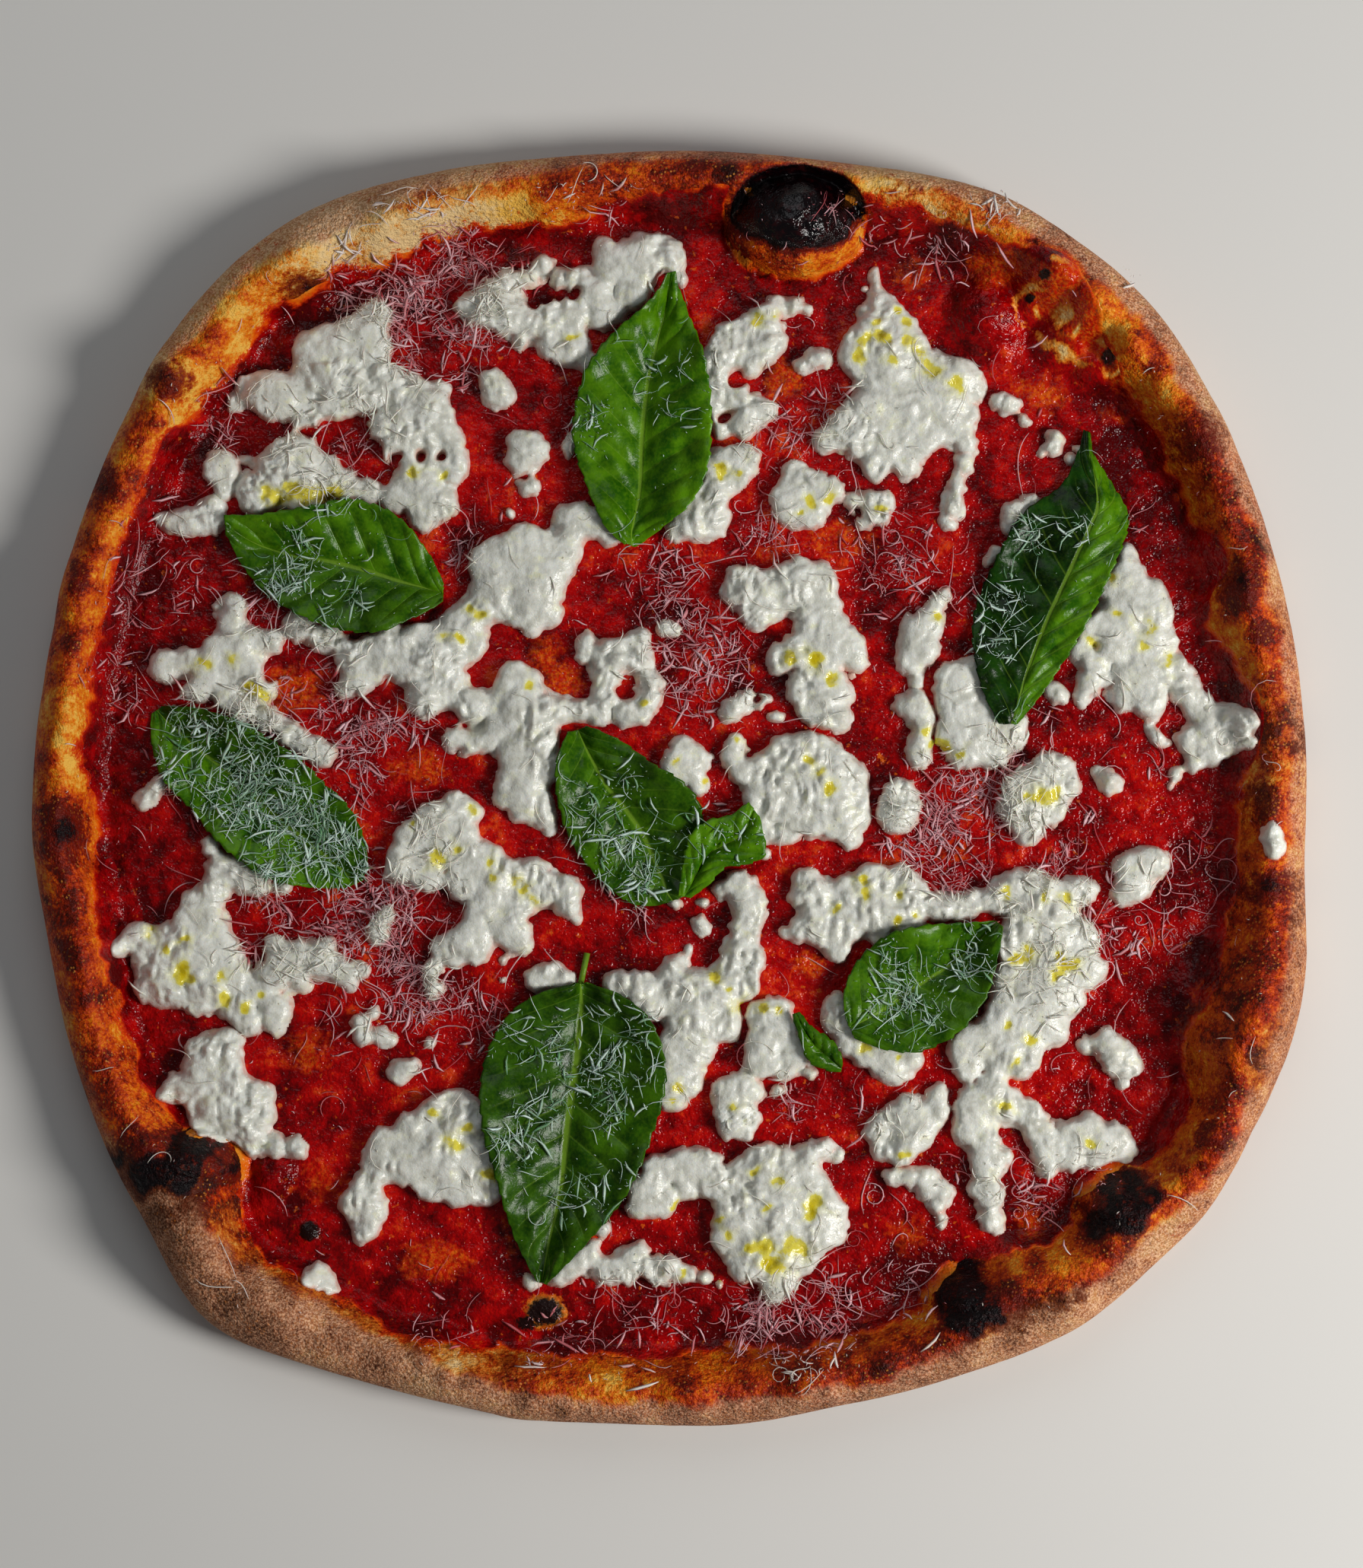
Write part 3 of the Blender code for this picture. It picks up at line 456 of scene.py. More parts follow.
# sauce smeared thinly over the dough: x, y, half width, half height, strength
smears = (
    (143, -60, 12, 22, 1), (155, -52, 9, 10, 0.6), (133, -88, 9, 9, 0.7), (148, -20, 9, 16, 0.7),
    (151, 26, 8, 9, 0.9), (144, 36, 8, 8, 0.8), (128, 100, 8, 10, 0.6), (60, 146, 10, 7, 0.6),
    (-25, 150, 18, 5, 0.6), (8, 153, 10, 6, 0.8), (-150, 66, 7, 12, 0.6), (-128, 102, 8, 8, 0.6),
    (60, -147, 12, 5, 0.5), (104, -128, 12, 6, 0.6), (-153, -20, 6, 14, 0.5), (-148, 45, 6, 12, 0.5),
    (-143, -55, 6, 12, 0.4), (30, -151, 20, 4, 0.5))
# how deep orange the dough is beside the sauce, by angle
amberAround = ringTable((
    (0, 0.4), (8, 0.35), (16, 0.9), (30, 0.9), (48, 1), (58, 0.6), (62, 0.35), (70, 0.3), (78, 0.9),
    (92, 1), (103, 0.8), (110, 0.05), (120, 0.05), (127, 0.45), (140, 0.8), (170, 1), (174, 0.7), (180, 1),
    (200, 1), (215, 1), (224, 0.2), (250, 0.1), (258, 0.5), (268, 1), (292, 0.9), (300, 1), (315, 0.8),
    (335, 1), (350, 1)), 2)


def sauceReach(turn):
    edge = readRing(sauceEdge, turn)
    return edge + ripples(flat(*around(edge, turn)), *dough["sauceWander"])


def wetness(x, y):
    # 1 in the sauce and 0 on clean dough, ragged between, and less where it is only smeared
    radius, turn = polar(x, y)
    place = flat(x, y)
    inside = sauceReach(turn) - radius
    for near, *_ in inDomes(x, y):
        inside = np.minimum(inside, 14 * (near - 1.0))
    ragged = ripples(place, (1.3, 8, 71), (1.2, 3.2, 72))
    thin = spots(x, y, smears) * (0.62 + ripples(place, (0.45, 4, 73), (0.3, 2, 74)))
    return np.clip(np.maximum(ease(inside + ragged, -2.0, 3.0), 0.62 * thin), 0, 1)


def amberness(x, y):
    # 1 where the dough has soaked up the sauce's oil
    radius, turn = polar(x, y)
    inside = sauceReach(turn) - radius + ripples(flat(x, y), (2.0, 9, 75), (1.2, 3, 76))
    most = readRing(amberAround, turn) * ease(inside, -19, -8)
    for near, *_ in inDomes(x, y):
        most = np.maximum(most, ease(1.25 - near, 0, 0.25) * ease(inside, -14, -4))
    return np.clip(most, 0, 1)


crust = {
    "steps": 1000,
    "floorRings": 6,
    "rimRings": 64,
    "wallRings": 9,
    "underRings": 4,
    "crowding": 1.4,           # how much closer the rim's rings lie towards the outer edge
    "swell": 0.8,              # how much its wall swells
    "edge": 0.9,               # how far across the rim the wall starts
    # layers of noise in how well baked it is, coarse to fine
    "bake": ((0.2 / 1.5, 13, 0), (0.1 / 1.5, 6.5, 7.3), (0.05 / 1.5, 3.25, 14.6), (0.12, 5, 4)),
}
# scorched places: x, y, half width, half height, strength, where 1 is black
scorches = (
    (-96, 130, 8, 6, 0.7), (-131, 105.5, 8, 7, 0.75), (-149, 78, 6, 9, 0.62), (-154, 54, 4, 8, 0.55),
    (-158, -14, 6.5, 12, 0.85), (-157, -42, 4, 4, 0.5), (-112, -99, 6, 5, 0.75), (-124, -111, 12, 5, 0.5),
    (-95, -117, 3.2, 3.2, 0.8), (5, -156, 6, 3, 0.4), (36, -151, 5, 3, 0.45), (63, -147, 6, 5, 0.5),
    (89, -136, 14, 7, 0.5), (101, -135, 4.5, 4, 0.7), (106, -132, 3.5, 3.5, 0.7), (140, -91, 6, 5, 0.55),
    (137.5, -99, 2, 2, 0.6), (151, -71, 4, 4, 0.5), (145, -55, 2.5, 2, 0.5), (155, -27, 8, 6, 0.75),
    (154, -4, 5, 7, 0.62), (143, -7, 5, 4, 0.5), (149, 52, 8, 9, 0.68), (154, 40, 5, 6, 0.5),
    (155, 13, 5, 6, 0.4), (138, 90, 9, 9, 0.6), (126, 111, 6, 7, 0.4), (5, 161, 7, 3, 0.5),
    (-16, 158, 8, 4, 0.35), (97, 131, 1.8, 1.5, 0.8), (94, 126.5, 1.5, 1.5, 0.75),
    (122, 117.5, 1.6, 1.6, 0.8), (60, 156, 9, 4, 0.3), (162, -30, 4, 12, 0.4), (164, 10, 4, 14, 0.35))
# pale places on the rim
pales = (
    (-158, 19, 7, 8, 0.9), (-158, 8, 6, 6, 0.8), (-70, 146, 26, 8, 0.8), (-45, 150, 20, 6, 0.8),
    (-90, 138, 9, 7, 0.5), (55, 158, 12, 5, 0.8), (90, 148, 10, 6, 0.5), (-155, -60, 8, 14, 0.4),
    (-20, -158, 26, 5, 0.5), (50, -155, 10, 4, 0.5), (-62, -150, 14, 4, 0.4), (70, 150, 14, 5, 0.5))
# how well baked the rim is, how floury its flank, and how far across the rim the flank starts
bakeAround = ringTable((
    (0, 0.54), (20, 0.54), (40, 0.5), (60, 0.46), (75, 0.45), (88, 0.62), (97, 0.56), (110, 0.33),
    (125, 0.31), (145, 0.38), (160, 0.52), (185, 0.56), (205, 0.6), (220, 0.66), (235, 0.58), (255, 0.56),
    (275, 0.6), (290, 0.6), (310, 0.58), (330, 0.52), (345, 0.56)), 4)
flourAround = ringTable((
    (0, 0.7), (20, 0.8), (35, 1), (60, 1), (75, 0.75), (100, 0.75), (115, 1), (125, 1), (138, 0.8),
    (150, 0.18), (205, 0.15), (215, 0.7), (222, 1), (250, 1), (280, 1), (310, 1), (335, 0.8)), 4)
flankAround = ringTable((
    (0, 0.74), (20, 0.74), (35, 0.66), (52, 0.62), (62, 0.64), (90, 0.8), (105, 0.66), (120, 0.5),
    (135, 0.62), (150, 0.86), (200, 0.9), (214, 0.78), (222, 0.4), (229, 0.22), (246, 0.3), (256, 0.58),
    (270, 0.66), (290, 0.7), (305, 0.58), (330, 0.72)), 3)


def crustRing(ring, turn):
    # radius of one ring at each angle, and its height where the wall or underside gives it
    outer, start = readRing(outerEdge, turn), ringStart(turn)
    if ring < crust["floorRings"]:
        return start * (ring + 1) / (crust["floorRings"] + 1), None
    ring -= crust["floorRings"]
    if ring < crust["rimRings"]:
        share = ring / (crust["rimRings"] - 1)
        return start + (outer - start) * (1 - (1 - share) ** crust["crowding"]), None
    ring -= crust["rimRings"]
    if ring < crust["wallRings"]:
        share = (ring + 1) / crust["wallRings"]
        lip = dough["shoulder"] * readRing(crestHeight, turn)
        return outer - dough["foot"] * share ** 2.4, lip * (1 - share) ** 0.85
    share = (ring - crust["wallRings"] + 1) / (crust["underRings"] + 1)
    return (outer - dough["foot"]) * (1 - share), np.zeros_like(turn)


def makeCrust():
    rings = sum(crust[key] for key in ("floorRings", "rimRings", "wallRings", "underRings"))
    deselect()
    bpy.ops.mesh.primitive_uv_sphere_add(segments=crust["steps"], ring_count=rings + 1, radius=1)
    made = named("baked_crust")
    ball = readPoints(made)
    ring = np.rint(np.arccos(np.clip(ball[:, 2], -1, 1)) / np.pi * (rings + 1)).astype(int) - 1
    step = np.rint(np.degrees(np.arctan2(ball[:, 1], ball[:, 0])) % 360 / 360 * crust["steps"])
    turn = step * 360 / crust["steps"]
    points = np.zeros_like(ball)
    for index in range(rings):
        mine = ring == index
        radius, height = crustRing(index, turn[mine])
        x, y = around(radius, turn[mine])
        if height is None:
            height = crustHeight(x, y)
        else:
            # the flank swells a little, and the underside stays flat
            swell = crust["swell"] * noise(flat(x, y), 14) * np.clip(height / 3, 0, 1)
            x, y = x * (1 + swell / radius), y * (1 + swell / radius)
        points[mine] = np.stack([x, y, height], 1)
    points[ring == -1] = (0, 0, dough["floor"])
    points[ring == rings] = (0, 0, 0)
    writePoints(made, toFrame(points))
    faceOutwards(made)

    x, y, z = points.T
    radius, turn = polar(x, y)
    across = acrossRim(radius, turn)
    place = flat(x, y)
    crest = readRing(crestHeight, turn)
    flankStart = readRing(flankAround, turn) + ripples(place, (0.07, 7, 8), (0.04, 2.5, 9))
    flank = ease(across - flankStart, 0, 0.13)
    flank += (z < 0.41 * crest) * (across > crust["edge"])
    wall = ease(0.34 * crest + noise(place, 9, 93) - z, 0, 3) * (across > crust["edge"])
    bake = readRing(bakeAround, turn) - 0.08 + ripples(place, *crust["bake"])
    bake += 0.12 * ease(across, 0.35, 0.62) - 0.10 * ease(across, 0.62, 0.9)
    bake += 0.2 * bulge(x, y, blisters) - 0.32 * spots(x, y, pales)
    charred = spots(x, y, scorches) * (1 + 0.25 * noise(place, 6, 9))
    for near, *_ in inDomes(x, y - 2.2)[1:]:
        near = near + ripples(place, (0.5, 6, 64), (0.3, 2.4, 65))
        charred = np.maximum(charred, ease(1.25 - near, 0, 1.1))
    # the big one is black on top, and its lower side glows
    above = inDomes(x, y - 6)[0][0] + 0.14 * noise(place, 4, 67)
    top = np.minimum(ease(1.05 - inDomes(x, y)[0][0], 0, 0.2), ease(1.3 - above, 0, 0.62))
    addAttributes(made, bake=bake, char=np.maximum(charred, 1.45 * top),
                  flour=np.maximum(np.clip(flank, 0, 1) * readRing(flourAround, turn), 0.8 * wall),
                  wet=wetness(x, y), amber=amberness(x, y))
    return made


def stainColour(tree, wet):
    # dough soaked with sauce, from golden to red
    return ramp(tree, wet, (0.0, (222, 138, 40)), (0.30, (224, 104, 14)), (0.58, (206, 54, 5)),
                (0.82, (178, 16, 3)), (1.0, (152, 2, 2)))


def crustMaterial():
    made, tree, shader = newMaterial("baked dough")
    fine = centred(tree, grain(tree, 0.8, 3.0, 0.65))
    mid = centred(tree, grain(tree, 2.2, 4.0, 0.68))
    coarse = centred(tree, grain(tree, 6.0, 4.0, 0.6))
    ragged = weigh(tree, attribute(tree, "char"), (coarse, 0.8), (mid, 0.8), (fine, 0.45))
    browned = weigh(tree, attribute(tree, "bake"), (coarse, 0.8), (mid, 0.75), (fine, 0.6),
                    (between(tree, ragged, 0.05, 0.7), 0.25))
    colour = ramp(tree, browned, (0.10, (234, 200, 142)), (0.28, (224, 162, 80)), (0.46, (196, 104, 24)),
                  (0.62, (152, 60, 9)), (0.80, (98, 34, 8)), (0.97, (48, 18, 8)))
    # deep orange where the sauce's oil has soaked in
    glow = ramp(tree, browned, (0.12, (238, 182, 76)), (0.30, (226, 128, 14)), (0.46, (204, 76, 3)),
                (0.60, (158, 36, 2)), (0.78, (90, 16, 2)), (1.0, (36, 8, 3)))
    amber = weigh(tree, attribute(tree, "amber"), (mid, 1.1))
    colour = mixColour(tree, between(tree, amber, 0.10, 0.55), colour, glow)
    # tiny golden pimples
    pimples = times(tree, useGroup(tree, dots, Dots_per_metre=900, Size=0.33),
                    between(tree, maths(tree, "ADD", coarse, mid), -0.06, 0.12))
    colour = mixColour(tree, times(tree, pimples, 0.55), colour, rgb(240, 172, 76))
    # flour baked on to the flank, in grains
    dusty = useGroup(tree, speckle, Patches_per_metre=1700, Least=0.44, Soft=0.16)
    flour = attribute(tree, "flour")
    dusted = maths(tree, "MULTIPLY", flour, weigh(tree, 0.80, (mid, 0.7)), clamp=True)
    baked = between(tree, browned, 0.22, 1.05)
    pale = mixColour(tree, baked, rgb(234, 192, 158), rgb(188, 132, 96))
    deep = mixColour(tree, baked, rgb(172, 116, 80), rgb(84, 44, 24))
    colour = mixColour(tree, dusted, colour, mixColour(tree, dusty, deep, pale))
    # sauce smeared on it
    wet = attribute(tree, "wet")
    soaked = weigh(tree, wet, (mid, 1.3), (fine, 0.9), (coarse, 0.9))
    stain = mixColour(tree, between(tree, browned, 0.40, 0.72), stainColour(tree, soaked), glow)
    colour = mixColour(tree, between(tree, soaked, 0.16, 0.50), colour, stain)
    # scorched to black, with brown round it
    toast = mixColour(tree, between(tree, amber, 0.2, 0.9), rgb(98, 36, 8), rgb(104, 16, 2))
    colour = mixColour(tree, times(tree, between(tree, ragged, 0.12, 0.66), 0.86), colour, toast)
    colour = mixColour(tree, times(tree, pimples, 0.42), colour, rgb(206, 112, 34))
    soot = mixColour(tree, between(tree, mid, -0.02, 0.20), rgb(7, 1, 3), rgb(40, 4, 6))
    colour = mixColour(tree, between(tree, ragged, 0.58, 0.95), colour, soot)
    glossy = between(tree, ragged, 0.95, 1.3)
    rough = weigh(tree, 0.46, (flour, 0.30), (between(tree, wet, 0.2, 0.9), -0.20), (fine, 0.3),
                  (glossy, -0.30))
    relief = useGroup(tree, fineRelief, Bumps_per_metre=800,
                      Height_in_mm=weigh(tree, 0.85, (glossy, -0.50)))
    give(tree, shader, {"Base Color": colour, "Roughness": rough, "Normal": relief,
                        "Coat Normal": relief, "Coat Weight": times(tree, glossy, 0.5),
                        "Coat Roughness": 0.12, "Specular IOR Level": 0.14})
    return made


bakedCrust = makeCrust()
finishPiece(bakedCrust, crustMaterial(), ["crust"])
report("crust")

sauce = {
    "cells": 288,              # across the sheet
    "skin": 0.16,              # thickness at its edge
    "depth": 1.55,             # and what it gains inside
    "edgeWidth": 11.0,
    "rings": (0.985, 0.95, 0.85, 0.6, 0.3, 0.02),      # of its underside
    "underFlat": 0.965,        # share of its reach within which the underside lies level
    "underRise": 0.6,          # and the most that it rises there over the floor of dough
    "sunk": 0.5,               # how deep the underside lies in the dough
    "pulp": ((0.30, 9, 20), (0.26, 4.2, 21), (0.16, 2.1, 22)),
}
# orange, oily places: x, y, half width, half height, strength
oilyPlaces = (
    (-100, 25, 12, 9, 0.9), (-66, 5, 10, 7, 0.8), (-33, 35, 8, 7, 0.8), (-28, 27, 7, 7, 0.9),
    (45, 65, 12, 8, 0.7), (75, -16, 9, 6, 0.6), (36, -47, 6, 5, 0.9), (-62, -125, 14, 8, 0.8),
    (30, 107, 7, 8, 0.9), (95, -113, 9, 8, 0.6), (63, -118, 10, 8, 0.6), (-95, -70, 11, 9, 0.7),
    (-75, 112, 12, 7, 0.4), (64, 135, 10, 8, 0.5), (98, 104, 12, 8, 0.7), (-128, 10, 8, 8, 0.5),
    (-30, 5, 8, 8, 0.5), (140, -60, 9, 12, 0.6), (28, 62, 9, 7, 0.5), (-120, -110, 10, 8, 0.4),
    (-90, -105, 14, 8, 0.6), (-40, -118, 9, 8, 0.5), (120, 100, 12, 8, 0.5), (100, 129, 10, 8, 1),
    (108, 122, 10, 9, 1), (115, 117, 8, 8, 1), (86, 136, 11, 7, 0.9), (119, 110, 7, 6, 0.9),
    (105, 134, 9, 6, 1))
# dough that shows through
barePlaces = (
    (-33, -138, 8, 6, 0.9), (126, 106, 3, 5, 0.6), (147, -72, 5, 5, 0.6), (140, -78, 4, 3, 0.6),
    (21, 32, 3, 3, 0.4), (50, 21, 4, 3, 0.4), (56, 7, 3, 3, 0.4))
# the smeared bubble at the upper right: lines of bare dough over it, each with its half width
bareLines = (
    (1.7, ((91, 128), (92, 124.5), (95, 121), (99, 117.5), (103, 114.5), (108, 111.5), (113, 109),
          (118, 108), (122, 110))),
    (1.3, ((91, 128), (94, 131.5), (98, 131))),
    (1.2, ((95, 127.5), (97, 124.5), (100, 123.5), (103.5, 126.5), (104, 124), (102, 121.5),
          (102.5, 118.5))),
    (1.2, ((105, 118.5), (107, 121), (109.5, 122.5), (111, 119.5), (112.5, 117), (114, 115), (115.5, 112.5),
          (117, 111))),
    (1.6, ((100, 137), (104.5, 136), (108.5, 133), (112, 129), (115, 125), (118.5, 121.5), (121, 117),
          (123.5, 112.5))))
# bubbles that stand out of the sauce: x, y, half width, half height
sauceBreaks = (
    (33, 149.2, 18.6, 15.4), (-120, -100, 9, 8), (-131, -104, 14, 9), (78, -136.5, 12.6, 11.6),
    (117, -112, 11.6, 12.6))
sauceScorches = (
    (-95, -117, 3.4, 3.4, 1), (-33, -138, 6, 5, 1), (97.5, 133, 1.8, 1.6, 1.2), (94.4, 128, 1.7, 1.5, 1.1),
    (123.7, 120, 2, 2, 1.2), (115, 112.5, 2.5, 3, 0.9), (121, 118.7, 1.6, 1.6, 1), (110, 136, 5, 2, 0.6),
    (120, 110, 2, 4, 0.7), (-38, -141, 4, 3, 0.8), (142, -64, 1.4, 1.4, 0.8))


def awayFrom(x, y, line):
    # distance to a line of points
    least = np.full_like(x, 99.0)
    for (ax, ay), (bx, by) in zip(line, line[1:]):
        share = ((x - ax) * (bx - ax) + (y - ay) * (by - ay)) / ((bx - ax) ** 2 + (by - ay) ** 2)
        share = np.clip(share, 0, 1)
        least = np.minimum(least, np.hypot(x - ax - share * (bx - ax), y - ay - share * (by - ay)))
    return least


def bareNet(x, y):
    place = flat(x, y)
    bentX, bentY = x + 1.8 * noise(place, 3.4, 91), y + 1.8 * noise(place, 3.4, 92)
    lines = [np.exp(-(awayFrom(bentX, bentY, line) / width) ** 2) for width, line in bareLines]
    return np.max(lines, 0) * (0.72 + 0.6 * noise(place, 3.2, 93))


def sauceTop(x, y):
    # the pulpy surface over the dough, thin at its edge and drawn in under it
    radius, turn = polar(x, y)
    place = flat(x, y)
    inside = sauceReach(turn) - radius
    pulp = ripples(place, *sauce["pulp"])
    lift = (sauce["skin"] + sauce["depth"] * ease(inside, 0, sauce["edgeWidth"])
            + pulp * ease(inside, 0.5, 8))
    lift -= (sauce["skin"] + 0.4) * ease(-inside, -1.2, 0)
    for px, py, across, tall in sauceBreaks:
        near = np.hypot((x - px) / across, (y - py) / tall) + 0.06 * noise(place, 3, 23)
        lift = lift - (lift + 1.5) * ease(1.04 - near, 0, 0.08)
    return crustHeight(x, y) + lift, pulp


def makeSauce():
    made = addGrid("tomato_sauce", sauce["cells"], sauce["cells"])
    u, v, _ = readPoints(made).T
    share, turn = polar(u * np.sqrt(1 - v * v / 2), v * np.sqrt(1 - u * u / 2))
    x, y = around(share * sauceReach(turn), turn)
    z, pulp = sauceTop(x, y)
    writePoints(made, toFrame(np.stack([x, y, z], 1)))

    # the underside: the edge drawn in to the middle in rings, sunk a little into the dough
    activate(made)
    mode("EDIT")
    bpy.ops.mesh.select_all(action="DESELECT")
    bpy.ops.mesh.select_mode(type="EDGE")
    bpy.ops.mesh.select_non_manifold(extend=False, use_wire=False, use_boundary=True,
                                     use_multi_face=False, use_non_contiguous=False, use_verts=False)
    before = 1.0
    for ring in sauce["rings"]:
        bpy.ops.mesh.extrude_region_move()
        bpy.ops.transform.resize(value=(ring / before,) * 3, center_override=toFrame(np.zeros(3)))
        before = ring
    bpy.ops.mesh.merge(type="CENTER")
    mode("OBJECT")
    points = toPizza(readPoints(made))
    under = np.arange(len(points)) >= len(u)
    x, y, _ = points.T
    radius, turn = polar(x, y)
    lowest = crustHeight(x[under], y[under])
    level = np.minimum(lowest, dough["floor"] + sauce["underRise"])
    inner = radius[under] < sauce["underFlat"] * sauceReach(turn[under])
    points[under, 2] = np.where(inner, level, lowest) - sauce["sunk"]
    writePoints(made, toFrame(points))
    faceOutwards(made)

    # darker towards the rim, but not round the bubble at the upper right
    rimward = ease(radius - readRing(sauceEdge, turn), -34, -6)
    rimward = rimward * (1 - 1.3 * spots(x, y, ((104, 124, 26, 24, 1.0),)))
    addAttributes(made, pulp=np.append(pulp, np.zeros(under.sum())), rimward=rimward,
                  wet=wetness(x, y), oily=spots(x, y, oilyPlaces),
                  bare=np.maximum(spots(x, y, barePlaces), bareNet(x, y)),
                  char=spots(x, y, sauceScorches))
    return made


def sauceMaterial():
    made, tree, shader = newMaterial("tomato sauce")
    broad = centred(tree, grain(tree, 22, 3.0, 0.55))
    mid = grain(tree, 4.0, 4.0, 0.6, 0.4)
    fine = grain(tree, 1.0, 3.0, 0.6)
    midOff, fineOff = centred(tree, mid), centred(tree, fine)
    bright = weigh(tree, mid, (attribute(tree, "pulp"), 0.9), (broad, 0.9), (fineOff, 0.75),
                   (attribute(tree, "rimward"), -0.24))
    colour = ramp(tree, bright, (0.06, (76, 0, 2)), (0.34, (126, 0, 3)), (0.56, (158, 1, 4)),
                  (0.80, (186, 13, 6)), (1.0, (212, 62, 18)))
    # oil the tomato has coloured
    oily = weigh(tree, attribute(tree, "oily"), (midOff, 1.6))
    amber = mixColour(tree, between(tree, fine, 0.40, 0.68), rgb(200, 34, 3), rgb(224, 106, 18))
    colour = mixColour(tree, times(tree, between(tree, oily, 0.30, 1.0), 0.85), colour, amber)
    flecks = useGroup(tree, speckle, Patches_per_metre=420, Least=0.66, Soft=0.05)
    colour = mixColour(tree, times(tree, flecks, 0.6), colour, rgb(216, 96, 26))
    # thin at its edge, where the dough's colour comes through
    soaked = weigh(tree, attribute(tree, "wet"), (fineOff, 0.4), (midOff, 0.8))
    thin = inverse(tree, between(tree, soaked, 0.50, 0.85))
    colour = mixColour(tree, thin, colour, stainColour(tree, soaked))
    # dough bare of sauce, and scorched bits
    bare = weigh(tree, attribute(tree, "bare"), (midOff, 1.0), (fineOff, 0.8))
    crumb = ramp(tree, bare, (0.30, (196, 52, 6)), (0.55, (214, 104, 16)), (0.80, (230, 156, 62)),
                 (1.0, (238, 200, 130)))
    bare = between(tree, bare, 0.34, 0.60)
    colour = mixColour(tree, bare, colour, crumb)
    charred = weigh(tree, attribute(tree, "char"), (fineOff, 0.9))
    colour = mixColour(tree, between(tree, charred, 0.25, 0.65), colour, rgb(26, 8, 6))
    give(tree, shader, {"Base Color": colour, "Roughness": weigh(tree, 0.06, (mid, 0.18), (bare, 0.20)),
                        "Normal": useGroup(tree, fineRelief, Bumps_per_metre=460, Height_in_mm=0.75),
                        "Specular IOR Level": 0.2})
    return made


tomatoSauce = makeSauce()
finishPiece(tomatoSauce, sauceMaterial(), ["sauce"])
report("sauce")


def bedHeight(x, y):
    # what a topping lies on: sauce inside its edge, dough beyond it
    radius, turn = polar(x, y)
    return np.where(radius < sauceReach(turn) - 1, sauceTop(x, y)[0], crustHeight(x, y) + 0.1)


curd = {
    "cell": 0.5,
    "run": 1.3,                # how softly lumps run into each other
    "sink": 0.30,              # height of a lump's middle over its bed, in radii
    "tall": 0.62,              # its half height in radii
    "add": 1.2,                # and what is added to that
    "edge": 1.4,               # width of the rounded edge
    "spill": 1.5,              # bare margin round the lumps while shaping
    "drawnIn": 0.35,           # how far its edge lies inside the lumps' outline
    "ragged": ((0.60, 3.4, 51), (0.55, 1.6, 52)),
    "level": 4.2,              # height over which it is pressed flatter
    "pressed": 0.6,            # and the share of what is above that stays
    "least": 0.9,              # least height, behind the rounded edge
    "lowered": 0.1,            # how much its top is lowered, so that the edge bites
    "sunk": 0.4,               # how deep its underside lies in its bed
    # size, height and shift of the lumps on it, with creases between
    "lumps": ((6.4, 0.56, 36), (3.3, 0.50, 37), (1.8, 0.27, 38)),
}
